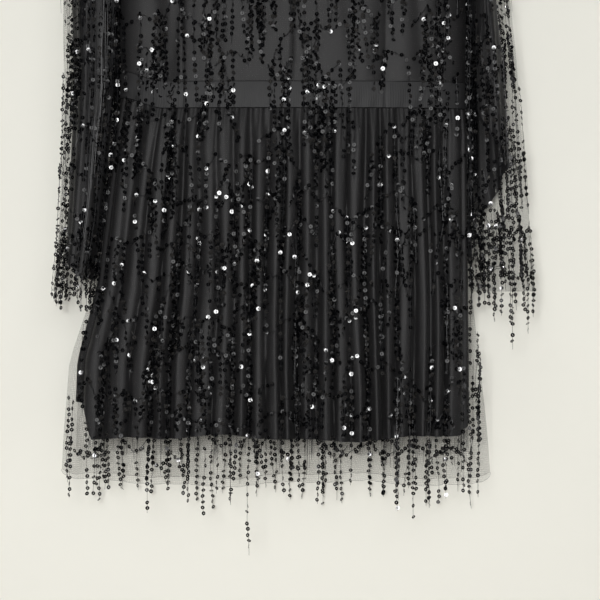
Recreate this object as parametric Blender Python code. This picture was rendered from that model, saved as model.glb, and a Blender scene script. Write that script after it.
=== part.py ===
"""A long-sleeved mini dress of fringed net over a plain lining, hanging on a wooden hanger.

Sizes are in metres and +Z is up. The origin is the inside of the hanger's hook, where a rail
carries it. The front faces -Y, so the wearer's left is at +X and the wearer's right at -X.
"""

import math
import random

import bmesh
import bpy
import numpy as np

MM = 0.001

# Heights, all measured from the inside of the hook.
NECK_POINT_Z = -92 * MM
SHOULDER_POINT_Z = -124 * MM
FRONT_NECK_Z = -225 * MM
BACK_NECK_Z = -112 * MM
UNDERARM_Z = -332 * MM
BAND_TOP_Z = -497 * MM
BAND_HEIGHT = 30 * MM
SKIRT_Z = BAND_TOP_Z - BAND_HEIGHT

# Widths from the middle of the dress.
NECK_POINT_X = 85 * MM
SHOULDER_POINT_X = 190 * MM
ARMHOLE_X = 178 * MM
ARMHOLE_CURVE = 1.4

# Cloth: wall thicknesses, and how far each layer's middle lies outside the lining's.
LINING = 1.2 * MM
NET = 1.0 * MM
BAND = 2.4 * MM
NET_OUT = 2.0 * MM
SKIRT_NET_OUT = 3.2 * MM
NET_LOOSE_BY = 30 * MM
BAND_OUT = 0.8 * MM
BAND_COLUMNS = 29
SEAM = 0.3 * MM
BAND_GAP = 0.9 * MM
LINING_DROP = 381 * MM
NET_DROP = 432 * MM
SIDE_CURVE = 2.4
OUTLINE_POINTS = 181
SHOULDER_ROUND = 40 * MM

# Gathers of each skirt panel, with the two deep ones of the front.
FOLDS = 22
SEAM_SHARE = 0.05
FOLD_WIDTHS = (0.7, 1.3)
FOLD_DEPTHS = (0.6, 1.3)
DEEP_FOLDS = (10, 16)
DEEP_FOLD = 1.5

# The left end of the waistband in the front view climbs towards the side seam.
BAND_CLIMB = 13 * MM
BAND_CLIMB_FROM = 150 * MM
BAND_CLIMB_OVER = 50 * MM

# depth, turns across a panel and start of each slow wave of the hems
HEM_WAVES = ((3, 11, 0.6), (1.5, 29, 0))
NET_HEM_SHIFT = 0.3

# The lining's hem is short where the back swings out at the wearer's right.
HEM_RISE = 40 * MM
HEM_RISE_FROM = 232 * MM
HEM_RISE_OVER = 16 * MM

# height above the waistband, half width of the body, half depth
BODICE_SECTIONS = (
    (0, 201, 23),
    (70, 203, 28),
    (130, 200, 33),
    (165, 196, 33),
    (200, 222, 33),
    (255, 258, 30),
    (405, 262, 26),
)
BODICE_ROWS = (0, 0.2, 0.42, 0.64, 0.84, 0.95, 0.985, 1)
NECK_COLUMNS = (0, 0.4, 0.72, 0.91)
SHOULDER_COLUMNS = (0, 1 / 3, 2 / 3)
ARMHOLE_COLUMNS = 7
FRONT_NECK_CURVE = 1.15
BACK_NECK_CURVE = 3
FOOT_SPREAD = 0.9
# How late the bodice's columns turn towards the edge above them.
NECK_TURNING = 3
ARMHOLE_TURNING = 4
CREASES_FROM_Z = -272 * MM
CREASES_OVER = 120 * MM
# middle at the waistband, lean outwards with height, depth and half width of each soft crease
BODICE_CREASES = ((-152, -0.08, 4.5, 15), (108, 0.05, 3.0, 13))
# drop below the waistband, half width at -X, half width at +X, half depth, fold depth
SKIRT_SECTIONS = (
    (0, 201, 201, 23, 1.0),
    (27, 205, 203, 27, 3.0),
    (213, 229, 204, 36, 5.0),
    (297, 252, 205, 38, 5.6),
    (381, 255, 205, 40, 6.0),
    (440, 257, 206, 41, 6.2),
)
# drop, how much wider the net hangs than the lining at -X, and at +X
NET_FLARE = (
    (0, 0, 0),
    (213, 0, 1),
    (297, 6, 10),
    (381, 10, 19),
    (440, 11, 22),
)
FLARE_SHARE = 0.12
SKIRT_ROWS = (0, 0.07, 0.56, 0.78, 1)

# inner x, inner z, outer x, outer z, half depth, fold depth
LEFT_SLEEVE = (
    (203.5, -329, 216, -134, 27, 0),
    (207.5, -337, 238, -166, 29, 0.6),
    (209.0, -354, 247, -228, 31, 1.6),
    (209.5, -378, 250, -305, 33, 3.0),
    (209.5, -412, 252, -392, 34, 4.0),
    (209.8, -500, 262, -500, 34, 5.0),
    (212.5, -665, 275, -665, 34, 5.6),
    (214.5, -740, 281, -740, 35, 6.0),
)
RIGHT_SLEEVE = (
    (203.5, -329, 217, -134, 27, 0),
    (207.5, -337, 242, -166, 29, 0.6),
    (209.0, -354, 258, -228, 31, 1.6),
    (209.5, -378, 265, -305, 33, 3.0),
    (209.5, -412, 268, -392, 34, 4.0),
    (212.0, -500, 266, -500, 35, 5.0),
    (229.0, -665, 273, -665, 36, 4.8),
    (239.5, -740, 280, -740, 37, 4.5),
)
SLEEVE_FOLDS = 6
SLEEVE_COLUMNS = 24
SLEEVE_LINING_Z = -593 * MM
SLEEVE_LINING_SLANT = 58 * MM
SLEEVE_LINING_RINGS = 7
ARMHOLE_GAP = 0.9 * MM
UNDERARM_LIFT = 5.5 * MM
UNDERARM_CURVE = 6

# Fringe: narrow strips just under the edges of the net, and the strands that hang from them.
STRAND = 1.6 * MM
STRIP_GAP = 0.4 * MM
STRIP_HEIGHT = 2.4 * MM
# x of each strand at the front hem, and its length
FRONT_STRANDS = (
    (-257, 22), (-238, 18), (-231, 9), (-211, 11), (-198, 9), (-163, 33), (-138, 6), (-129, 10),
    (-118, 19), (-102, 34), (-86, 7), (-78, 17), (-67, 20), (-45, 80), (-29, 5), (-7, 13),
    (9, 8), (34, 24), (41, 6), (70, 5), (92, 15), (106, 16), (118, 30), (129, 12),
    (136, 38), (146, 6), (160, 25), (170, 15), (196, 7), (214, 16),
)
BACK_STRANDS = 26
BACK_STRAND_LENGTHS = (6 * MM, 38 * MM)
# turn round the cuff from its outside, as a share of half a turn towards the front, and length
LEFT_CUFF_STRANDS = (
    (-0.55, 24), (-0.38, 40), (-0.2, 18), (-0.06, 30), (0.08, 12), (0.2, 49), (0.31, 22),
    (0.43, 67), (0.54, 28), (0.62, 33), (0.72, 16),
)
RIGHT_CUFF_STRANDS = (
    (-0.5, 14), (-0.34, 9), (-0.2, 22), (-0.07, 12), (0.05, 7), (0.17, 10), (0.29, 17),
    (0.4, 8), (0.5, 12),
)

# Hanger.
HOOK_WIRE = 3.5 * MM
HOOK_INSIDE = 17 * MM
HOOK_STEPS = 18
HOOK_TIP_ANGLE = -25
HOOK_TURN = 245
STEM_STEPS = 5
STEM_DROP = 13 * MM
ARM_TOP_Z = -75 * MM
ARM_END_X = 184 * MM
ARM_THICKNESS = 12 * MM
ARM_UNDER_SHOULDER = 1.5 * MM
ARM_DEEP = 34 * MM
ARM_END_DEEP = 20 * MM
ARM_SECTIONS = 17
ARM_ROUND_FROM = 0.93
ARM_END_ROUND = 0.35
# share of the arm's half thickness, share of its depth below its top edge
ARM_PROFILE = ((0, 0), (0.42, -0.09), (0.83, -0.24), (1, -0.45), (1, -0.8), (0.6, -1))

BLACK_LINING = ((0.020, 0.020, 0.022, 1), 0.55, 0)
BLACK_NET = ((0.010, 0.010, 0.011, 1), 0.75, 0)
BLACK_SEQUIN = ((0.008, 0.008, 0.009, 1), 0.2, 0)
BEECH = ((0.46, 0.28, 0.14, 1), 0.45, 0)
STEEL = ((0.62, 0.62, 0.64, 1), 0.25, 1)


def clear_scene():
    for thing in list(bpy.data.objects):
        bpy.data.objects.remove(thing)


def collection_for_dress():
    found = bpy.data.collections.new("sequin_mini_dress")
    bpy.context.scene.collection.children.link(found)
    return found


def material(name, finish):
    colour, roughness, metallic = finish
    made = bpy.data.materials.new(name)
    made.use_nodes = True
    shader = made.node_tree.nodes["Principled BSDF"]
    shader.inputs["Base Color"].default_value = colour
    shader.inputs["Roughness"].default_value = roughness
    shader.inputs["Metallic"].default_value = metallic
    return made


def smooth(share):
    """0 below 0 and 1 above 1, with a soft S between them."""
    share = np.clip(share, 0, 1)
    return share * share * (3 - 2 * share)


def unit(vectors):
    """Vectors brought to a length of 1."""
    vectors = np.asarray(vectors, float)
    return vectors / np.maximum(np.linalg.norm(vectors, axis=-1, keepdims=True), 1e-12)


def read_table(table, at, column):
    """One column of a table of millimetres, in metres, between its rows."""
    rows = np.array(table, float) * MM
    return np.interp(at, rows[:, 0], rows[:, column])


def band_climb(x):
    return BAND_CLIMB * smooth((-x - BAND_CLIMB_FROM) / BAND_CLIMB_OVER)


def shoulder_line(x):
    """Height of the shoulder seam, carried on over the neck."""
    slope = (NECK_POINT_Z - SHOULDER_POINT_Z) / (SHOULDER_POINT_X - NECK_POINT_X)
    return NECK_POINT_Z + (NECK_POINT_X - abs(x)) * slope


def body_shape(x, z):
    """Half width and half depth at a height, and how much of the depth the side and top leave."""
    height = z - BAND_TOP_Z
    wide, deep = (float(read_table(BODICE_SECTIONS, height, column)) for column in (1, 2))
    side = max(1 - (abs(x) / wide) ** SIDE_CURVE, 0)
    top = max(min((shoulder_line(x) - z) / SHOULDER_ROUND, 1), 0)
    return wide, deep, side, top


def body_depth(x, z):
    """How far the bodice stands from the middle plane at one place."""
    _, deep, side, top = body_shape(x, z)
    return deep * math.sqrt(side * top)


def body_out(x, z, facing):
    """The way the bodice's surface faces at one place."""
    wide, deep, side, top = body_shape(x, z)
    across = deep**2 * top * SIDE_CURVE * (abs(x) / wide) ** (SIDE_CURVE - 1) / wide
    up = deep**2 * side / SHOULDER_ROUND if top < 1 else 0
    return unit((math.copysign(across, x), 2 * facing * body_depth(x, z), up))


def armhole(turn):
    """A point of the armhole's edge, from the shoulder point at turn 0 to the underarm at 1."""
    middle = (SHOULDER_POINT_Z + UNDERARM_Z) / 2
    half = (SHOULDER_POINT_Z - UNDERARM_Z) / 2
    z = middle + half * math.cos(math.pi * turn)
    underarm_x = float(read_table(BODICE_SECTIONS, UNDERARM_Z - BAND_TOP_Z, 1))
    straight = SHOULDER_POINT_X + (underarm_x - SHOULDER_POINT_X) * turn
    hollow = (SHOULDER_POINT_X + underarm_x) / 2 - ARMHOLE_X
    return straight - hollow * math.sin(math.pi * turn) ** ARMHOLE_CURVE, z


def armhole_out(turn, facing):
    """The way out of the armhole's loop, square to the arm."""
    middle = (SHOULDER_POINT_Z + UNDERARM_Z) / 2
    half = (SHOULDER_POINT_Z - UNDERARM_Z) / 2
    x, z = armhole(turn)
    deep = body_depth(*armhole(0.5))
    return unit((0, facing * body_depth(x, z) / deep**2, (z - middle) / half**2))


def bodice_edge(facing):
    """Half of the bodice's top edge from the middle of the neck: x, z and the armhole's turn."""
    low, curve = (FRONT_NECK_Z, FRONT_NECK_CURVE) if facing < 0 else (BACK_NECK_Z, BACK_NECK_CURVE)
    edge = []
    for part in NECK_COLUMNS:
        edge.append((NECK_POINT_X * part, low + (NECK_POINT_Z - low) * part**curve, None))
    for part in SHOULDER_COLUMNS:
        x = NECK_POINT_X + (SHOULDER_POINT_X - NECK_POINT_X) * part
        edge.append((x, shoulder_line(x), None))
    for turn in np.linspace(0, 1, ARMHOLE_COLUMNS):
        edge.append((*armhole(turn), turn))
    return edge


def bodice_crease(facing, x, z):
    """How far the long soft creases sink that run from the bust into the waistband."""
    if facing > 0:
        return 0.0
    fade = smooth((CREASES_FROM_Z - z) / CREASES_OVER)
    sunk = 0.0
    for at, lean, deep, wide in BODICE_CREASES:
        away = x - at * MM - lean * (z - BAND_TOP_Z)
        sunk += deep * MM * math.exp(-((away / (wide * MM)) ** 2)) * fade
    return sunk


def bodice_grid(facing, side):
    """Middle of a quarter of the bodice, and the way it faces; facing -1 is front, side 1 is +X."""
    edge = bodice_edge(facing)
    foot = BAND_TOP_Z + BAND_GAP
    points = np.zeros((len(BODICE_ROWS), len(edge), 3))
    out = np.zeros(points.shape)
    for column, (edge_x, edge_z, turn) in enumerate(edge):
        foot_x = (column / (len(edge) - 1)) ** FOOT_SPREAD * float(read_table(BODICE_SECTIONS, 0, 1))
        turning = NECK_TURNING if turn is None else ARMHOLE_TURNING
        for row, up in enumerate(BODICE_ROWS):
            z = foot + (edge_z - foot) * up
            x = foot_x + (edge_x - foot_x) * up**turning
            if column == len(edge) - 1:
                x = float(read_table(BODICE_SECTIONS, z - BAND_TOP_Z, 1))
            x *= side
            y = facing * (body_depth(x, z) - bodice_crease(facing, x, z))
            points[row, column] = x, y, z + band_climb(x) * (1 - up)
            out[row, column] = body_out(x, z, facing)
            if up == 1 and turn is not None and turn < 1:
                out[row, column] = armhole_out(turn, facing)
            if column == len(edge) - 1:
                out[row, column] = (side, 0, 0)
    return points, out


def fold_table(facing):
    """Where each gather starts, as shares of a panel, and how deep it is beside the usual."""
    uneven = random.Random(7 + facing)
    widths = [uneven.uniform(*FOLD_WIDTHS) for _ in range(FOLDS)]
    depths = [uneven.uniform(*FOLD_DEPTHS) for _ in range(FOLDS)]
    if facing < 0:
        for fold in DEEP_FOLDS:
            depths[fold] = DEEP_FOLD
    starts = np.concatenate([[0], np.cumsum(widths)]) / sum(widths)
    return starts, depths


def fold_wave(share, folds):
    """The gathers as a wave of about -1 to 1 that dies out at the side seams."""
    starts, depths = folds
    fold = min(max(int(np.searchsorted(starts, share, side="right")) - 1, 0), FOLDS - 1)
    along = (share - starts[fold]) / (starts[fold + 1] - starts[fold])
    window = smooth(share / SEAM_SHARE) * smooth((1 - share) / SEAM_SHARE)
    return depths[fold] * math.cos(2 * math.pi * along) * window


def skirt_outline(drop, facing):
    """Half of the skirt's plain outline: shares of its length, points and ways out."""
    turn = np.linspace(0, math.pi, OUTLINE_POINTS)
    power = 2 / SIDE_CURVE
    left = read_table(SKIRT_SECTIONS, drop, 1)
    right = read_table(SKIRT_SECTIONS, drop, 2)
    wide = np.where(np.cos(turn) > 0, left, right)
    x = -wide * np.sign(np.cos(turn)) * np.abs(np.cos(turn)) ** power
    y = facing * read_table(SKIRT_SECTIONS, drop, 3) * np.sin(turn) ** power
    length = np.concatenate([[0], np.cumsum(np.hypot(np.diff(x), np.diff(y)))])
    out = unit(np.stack([-facing * np.gradient(y), facing * np.gradient(x)], axis=1))
    return length / length[-1], x, y, out


def skirt_point(share, drop, facing, folds):
    """A point of the lining's middle and the plain way out there; share runs from -X to +X."""
    along, xs, ys, outs = skirt_outline(drop, facing)
    deep = read_table(SKIRT_SECTIONS, drop, 4) * fold_wave(share, folds)
    out = unit((np.interp(share, along, outs[:, 0]), np.interp(share, along, outs[:, 1]), 0))
    if share in (0, 1):
        out = np.array((-1.0 if share == 0 else 1.0, 0, 0))
    x = np.interp(share, along, xs)
    y = np.interp(share, along, ys)
    z = SKIRT_Z - BAND_GAP - drop + band_climb(x) * (1 - drop / NET_DROP)
    return np.array((x, y, z)) + out * deep, out


def skirt_shares(folds):
    """Three columns a gather, and the last seam."""
    starts = folds[0]
    shares = []
    for fold in range(FOLDS):
        for third in range(3):
            shares.append(starts[fold] + (starts[fold + 1] - starts[fold]) * third / 3)
    return [*shares, 1]


def hem_wave(share):
    """How much lower the hem dips, in two slow waves across a panel."""
    return sum(deep * MM * math.sin(turns * share + start) for deep, turns, start in HEM_WAVES)


def across_out(points, plain):
    """Ways out that lie square to each gather, from the points beside it in the same row."""
    along = np.gradient(points, axis=1)
    square = np.stack([along[..., 1], -along[..., 0], np.zeros(along.shape[:2])], axis=-1)
    square *= np.sign((square * plain).sum(axis=-1, keepdims=True))
    square = unit(square)
    square[:, 0], square[:, -1] = plain[:, 0], plain[:, -1]
    return square


def lining_grid(facing, folds):
    columns = skirt_shares(folds)
    points = np.zeros((len(SKIRT_ROWS), len(columns), 3))
    plain = np.zeros(points.shape)
    for column, share in enumerate(columns):
        reach = skirt_point(share, LINING_DROP, facing, folds)[0][0]
        rise = HEM_RISE * float(smooth((-reach - HEM_RISE_FROM) / HEM_RISE_OVER))
        for row, part in enumerate(SKIRT_ROWS):
            drop = part * LINING_DROP
            if part == 1:
                drop += hem_wave(share) - rise
            points[row, column], plain[row, column] = skirt_point(share, drop, facing, folds)
    return points, across_out(points, plain)


def net_grid(facing, folds):
    """The net's middle: the lining's points moved out, more so beside the side seams."""
    columns = skirt_shares(folds)
    drops = [part * LINING_DROP for part in SKIRT_ROWS] + [NET_DROP]
    points = np.zeros((len(drops), len(columns), 3))
    plain = np.zeros(points.shape)
    for column, share in enumerate(columns):
        for row, drop in enumerate(drops):
            lower = hem_wave(share + NET_HEM_SHIFT) if drop == NET_DROP else 0
            point, out = skirt_point(share, drop + lower, facing, folds)
            away = NET_OUT + (SKIRT_NET_OUT - NET_OUT) * smooth(drop / NET_LOOSE_BY)
            seam = share if share < 0.5 else 1 - share
            flare = read_table(NET_FLARE, drop, 1 if share < 0.5 else 2)
            away += flare * (1 - smooth(seam / FLARE_SHARE))
            points[row, column] = point + out * away
            plain[row, column] = out
    return points, across_out(points, plain)


def wall_faces(rows, columns, closed):
    """Faces of a wall whose inner points come first and outer points after them."""
    step = rows * columns
    wrap = columns if closed else columns - 1

    def at(row, column, layer):
        return layer * step + row * columns + column % columns

    faces = []
    for row in range(rows - 1):
        for column in range(wrap):
            here, beside = (row, column), (row, column + 1)
            below, across = (row + 1, column), (row + 1, column + 1)
            for half in ((here, beside, across), (here, across, below)):
                faces.append([at(*corner, 1) for corner in half])
                faces.append([at(*corner, 0) for corner in reversed(half)])
    for column in range(wrap):
        for row in (0, rows - 1):
            ends = ((row, column, 0), (row, column + 1, 0), (row, column + 1, 1), (row, column, 1))
            faces.append([at(*corner) for corner in ends])
    for row in range(rows - 1):
        for column in () if closed else (0, columns - 1):
            ends = ((row, column, 0), (row + 1, column, 0), (row + 1, column, 1), (row, column, 1))
            faces.append([at(*corner) for corner in ends])
    return faces


def add_object(name, mesh, finish, home):
    made = bpy.data.objects.new(name, mesh)
    home.objects.link(made)
    mesh.materials.append(finish)
    return made


def tidy_mesh(name, points, faces):
    """A mesh from points and faces, with every face turned outwards."""
    mesh = bpy.data.meshes.new(name)
    mesh.from_pydata([tuple(point) for point in points], [], faces)
    turned = bmesh.new()
    turned.from_mesh(mesh)
    bmesh.ops.recalc_face_normals(turned, faces=turned.faces)
    turned.to_mesh(mesh)
    turned.free()
    mesh.shade_smooth()
    return mesh


def wall_sides(grid, thickness, seams=()):
    """Inner and outer points of a wall, kept off the planes of its seams."""
    points, out = grid
    sides = [points - out * thickness / 2, points + out * thickness / 2]
    for side in sides:
        for axis, sign in seams:
            side[..., axis] = sign * np.maximum(sign * side[..., axis], SEAM / 2)
    return sides


def cloth_wall(name, grid, thickness, finish, home, closed=False, seams=()):
    """A wall of cloth about a grid of middle points and the ways that they face."""
    inner, outer = wall_sides(grid, thickness, seams)
    rows, columns = inner.shape[:2]
    points = np.concatenate([inner.reshape(-1, 3), outer.reshape(-1, 3)])
    mesh = tidy_mesh(name, points, wall_faces(rows, columns, closed))
    return add_object(name, mesh, finish, home)


def moved_out(grid, distance):
    points, out = grid
    return points + out * distance, out


def make_bodice(home, lining, net):
    for facing, face in ((-1, "front"), (1, "back")):
        for side, hand in ((-1, "right"), (1, "left")):
            grid = bodice_grid(facing, side)
            seams = ((1, facing), (0, side))
            cloth_wall(f"bodice_lining_{face}_{hand}", grid, LINING, lining, home, seams=seams)
            over = moved_out(grid, NET_OUT)
            cloth_wall(f"bodice_net_{face}_{hand}", over, NET, net, home, seams=seams)


def make_waistband(home, finish):
    """The plain inset band, in a front and a back piece."""
    turn = np.linspace(0, math.pi, BAND_COLUMNS)
    power = 2 / SIDE_CURVE
    half_width, half_depth = (float(read_table(BODICE_SECTIONS, 0, column)) for column in (1, 2))
    for facing, face in ((-1, "front"), (1, "back")):
        x = -half_width * np.sign(np.cos(turn)) * np.abs(np.cos(turn)) ** power
        y = facing * half_depth * np.sin(turn) ** power
        out = unit(np.stack([x / half_width**2, y / half_depth**2, 0 * x], axis=1))
        rows = [np.stack([x, y, z + band_climb(x)], axis=1) for z in (BAND_TOP_Z, SKIRT_Z)]
        grid = moved_out((np.array(rows), np.array([out, out])), BAND_OUT)
        cloth_wall(f"waistband_{face}", grid, BAND, finish, home, seams=((1, facing),))


def make_skirt(home, lining, net, fringe_finish):
    for facing, face in ((-1, "front"), (1, "back")):
        seams = ((1, facing),)
        folds = fold_table(facing)
        under = lining_grid(facing, folds)
        cloth_wall(f"skirt_lining_{face}", under, LINING, lining, home, seams=seams)
        over = net_grid(facing, folds)
        cloth_wall(f"skirt_net_{face}", over, NET, net, home, seams=seams)
        inner, outer = wall_sides(over, NET, seams)
        strands = hem_strands(facing, over[0][-1])
        fringe(f"hem_fringe_{face}", inner[-1], outer[-1], strands, fringe_finish, home)


def hem_strands(facing, hem):
    """Where along the hem each strand hangs, as lengths from its start, and how long it is."""
    run = np.concatenate([[0], np.cumsum(np.hypot(*np.diff(hem[:, :2], axis=0).T))])
    if facing < 0:
        return [(float(np.interp(x * MM, hem[:, 0], run)), long * MM) for x, long in FRONT_STRANDS]
    uneven = random.Random(31)
    pitch = run[-1] / BACK_STRANDS
    strands = []
    for strand in range(BACK_STRANDS):
        place = (strand + uneven.uniform(0.25, 0.75)) * pitch
        strands.append((place, uneven.uniform(*BACK_STRAND_LENGTHS)))
    return strands


def fringe(name, inner, outer, strands, finish, home, closed=False):
    """A narrow strip just under an edge of the net, with strands hanging from its underside."""
    if closed:
        inner = np.concatenate([inner, inner[:1]])
        outer = np.concatenate([outer, outer[:1]])
    middle = (inner + outer) / 2
    run = np.concatenate([[0], np.cumsum(np.hypot(*np.diff(middle[:, :2], axis=0).T))])
    rooted = [place + half for place, _ in strands for half in (-STRAND / 2, STRAND / 2)]
    plain = [float(at) for at in run if all(abs(at - root) > STRAND / 3 for root in rooted)]
    lengths = {round(place, 6): long for place, long in strands}
    ends = sorted([*plain, *rooted])
    if closed:
        ends = ends[:-1]
    points = []
    for at in ends:
        for low in (STRIP_GAP, STRIP_GAP + STRIP_HEIGHT):
            for side in (inner, outer):
                x, y, z = (float(np.interp(at, run, side[:, axis])) for axis in range(3))
                points.append((x, y, z - low))
    strip = bmesh.new()
    corners = [strip.verts.new(point) for point in points]
    rings = [[corners[4 * k + j] for j in (0, 1, 3, 2)] for k in range(len(ends))]
    pairs = list(zip(rings, rings[1:], ends, ends[1:]))
    if closed:
        pairs.append((rings[-1], rings[0], ends[-1], run[-1]))
    hanging = []
    for one, two, start, end in pairs:
        for corner in range(4):
            after = (corner + 1) % 4
            face = strip.faces.new((one[corner], one[after], two[after], two[corner]))
            long = lengths.get(round((start + end) / 2, 6))
            if corner == 2 and long:
                hanging.append((face, long))
    if not closed:
        strip.faces.new(rings[0][::-1])
        strip.faces.new(rings[-1])
    for face, long in hanging:
        grown = bmesh.ops.extrude_discrete_faces(strip, faces=[face])["faces"][0]
        for point in grown.verts:
            point.co.z -= long
    bmesh.ops.recalc_face_normals(strip, faces=strip.faces)
    mesh = bpy.data.meshes.new(name)
    strip.to_mesh(mesh)
    strip.free()
    return add_object(name, mesh, finish, home)


def armhole_ring(angle, side):
    """A point of the sleeve's edge at the armhole and its way out; angle 0 is the shoulder."""
    turn = angle / math.pi if angle <= math.pi else 2 - angle / math.pi
    facing = -1 if angle <= math.pi else 1
    x, z = armhole(turn)
    lift = UNDERARM_LIFT * ((1 - math.cos(math.pi * turn)) / 2) ** UNDERARM_CURVE
    point = np.array((side * (x + ARMHOLE_GAP), facing * body_depth(x, z), z + lift))
    return point, armhole_out(turn, facing)


def sleeve_ring(row, angle, side):
    """A point of one ring of the sleeve and its way out: angle 0 is outside, a quarter is front."""
    inner_x, inner_z, outer_x, outer_z, deep, fold = (value * MM for value in row)
    reach = np.array((side * (outer_x - inner_x) / 2, 0, (outer_z - inner_z) / 2))
    middle = np.array((side * (outer_x + inner_x) / 2, 0, (outer_z + inner_z) / 2))
    half = np.linalg.norm(reach)
    dip = fold * (1 - math.cos(SLEEVE_FOLDS * angle)) / 2
    front = np.array((0, -1, 0))
    across, along = reach * math.cos(angle), front * math.sin(angle)
    point = middle + across * (1 - dip / half) + along * (deep - dip)
    return point, unit(across / half**2 + along / deep)


def sleeve_angles():
    return [2 * math.pi * column / SLEEVE_COLUMNS for column in range(SLEEVE_COLUMNS)]


def sleeve_grid(table, side):
    """Middle of the sleeve's lining, carried on to the cuff, and the ways that it faces."""
    rings = [[armhole_ring(angle, side) for angle in sleeve_angles()]]
    for row in table:
        rings.append([sleeve_ring(row, angle, side) for angle in sleeve_angles()])
    points = np.array([[point for point, _ in ring] for ring in rings])
    out = np.array([[way for _, way in ring] for ring in rings])
    return points, out


def sleeve_lining_grid(grid):
    """The rings above the slanting hem of the sleeve's lining, and that hem."""
    points, out = grid
    keep = SLEEVE_LINING_RINGS
    heights = -points[keep - 1 :, 0, 2]
    hem = np.zeros((1, SLEEVE_COLUMNS, 3))
    for column, angle in enumerate(sleeve_angles()):
        z = SLEEVE_LINING_Z + SLEEVE_LINING_SLANT * math.sin(angle)
        for axis in (0, 1):
            hem[0, column, axis] = np.interp(-z, heights, points[keep - 1 :, column, axis])
        hem[0, column, 2] = z
    return np.concatenate([points[:keep], hem]), out[: keep + 1]


def make_sleeves(home, lining, net, fringe_finish):
    hands = (
        (RIGHT_SLEEVE, RIGHT_CUFF_STRANDS, -1, "right"),
        (LEFT_SLEEVE, LEFT_CUFF_STRANDS, 1, "left"),
    )
    for table, strands, side, hand in hands:
        grid = sleeve_grid(table, side)
        inner = sleeve_lining_grid(grid)
        cloth_wall(f"sleeve_lining_{hand}", inner, LINING, lining, home, closed=True)
        over = moved_out(grid, NET_OUT)
        cloth_wall(f"sleeve_net_{hand}", over, NET, net, home, closed=True)
        edge = [side_points[-1] for side_points in wall_sides(over, NET)]
        placed = cuff_strands(edge, strands)
        fringe(f"cuff_fringe_{hand}", *edge, placed, fringe_finish, home, closed=True)


def cuff_strands(edge, strands):
    """The strands of a cuff, as lengths along its edge from the outside, and how long each is."""
    middle = (edge[0] + edge[1]) / 2
    middle = np.concatenate([middle, middle[:1]])
    run = np.concatenate([[0], np.cumsum(np.hypot(*np.diff(middle[:, :2], axis=0).T))])
    columns = np.arange(len(run))
    placed = []
    for turn, long in strands:
        column = (turn / 2 % 1) * SLEEVE_COLUMNS
        placed.append((float(np.interp(column, columns, run)), long * MM))
    return placed


def arm_sections():
    """x, height of the top edge and depth of the hanger's arm, from one end to the other."""
    sections = []
    for x in np.linspace(-ARM_END_X, ARM_END_X, ARM_SECTIONS):
        top = min(float(shoulder_line(x)) - ARM_UNDER_SHOULDER, ARM_TOP_Z)
        sections.append((x, top, ARM_DEEP + (ARM_END_DEEP - ARM_DEEP) * abs(x) / ARM_END_X))
    return sections


def make_hanger_arm(home, finish):
    """A bowed bar that fills the shoulders, narrow at its top edge and rounded at its ends."""
    half = ARM_THICKNESS / 2
    shape = list(ARM_PROFILE) + [(-across, down) for across, down in ARM_PROFILE[:0:-1]]
    points = []
    for x, top, deep in arm_sections():
        end = 1 - ARM_END_ROUND * smooth((abs(x) / ARM_END_X - ARM_ROUND_FROM) / (1 - ARM_ROUND_FROM))
        points += [(x, across * half * end, top + down * deep * end) for across, down in shape]
    count = len(shape)
    faces = [list(range(count)), list(range(len(points) - count, len(points)))]
    for section in range(ARM_SECTIONS - 1):
        for corner in range(count):
            first, after = section * count + corner, section * count + (corner + 1) % count
            faces.append([first, after, after + count, first + count])
    return add_object("hanger_arm", tidy_mesh("hanger_arm", points, faces), finish, home)


def make_hanger_hook(home, finish):
    """A bent wire whose inside top is the origin, with its stem standing on the arm."""
    radius = HOOK_INSIDE + HOOK_WIRE / 2
    points = []
    for step in range(HOOK_STEPS + 1):
        angle = math.radians(HOOK_TIP_ANGLE + HOOK_TURN * step / HOOK_STEPS)
        points.append((radius * math.cos(angle), 0, -HOOK_INSIDE + radius * math.sin(angle)))
    last_x, _, last_z = points[-1]
    for step in range(1, STEM_STEPS + 1):
        share = step / STEM_STEPS
        points.append((last_x * (1 - float(smooth(share))), 0, last_z - STEM_DROP * share))
    foot = arm_sections()[ARM_SECTIONS // 2][1]
    points.append((0, 0, foot + SEAM))
    curve = bpy.data.curves.new("hanger_hook", "CURVE")
    curve.dimensions = "3D"
    curve.bevel_depth = HOOK_WIRE / 2
    curve.bevel_resolution = 2
    curve.use_fill_caps = True
    line = curve.splines.new("POLY")
    line.points.add(len(points) - 1)
    for place, point in zip(line.points, points):
        place.co = (*point, 1)
    return add_object("hanger_hook", curve, finish, home)


def main():
    clear_scene()
    home = collection_for_dress()
    lining = material("black lining", BLACK_LINING)
    net = material("black net", BLACK_NET)
    sequin = material("black sequin", BLACK_SEQUIN)
    make_bodice(home, lining, net)
    make_waistband(home, lining)
    make_skirt(home, lining, net, sequin)
    make_sleeves(home, lining, net, sequin)
    make_hanger_arm(home, material("beech", BEECH))
    make_hanger_hook(home, material("steel wire", STEEL))


main()
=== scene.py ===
"""Looks of a long-sleeved mini dress of sequin-fringed net, hung on a wooden hanger by a pale wall.

Metres, +Z up. The origin is the inside of the hanger's hook and the front faces -Y. The cloth
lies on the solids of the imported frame, so its tables and curves are the same as theirs.
"""

import math
import random

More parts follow.
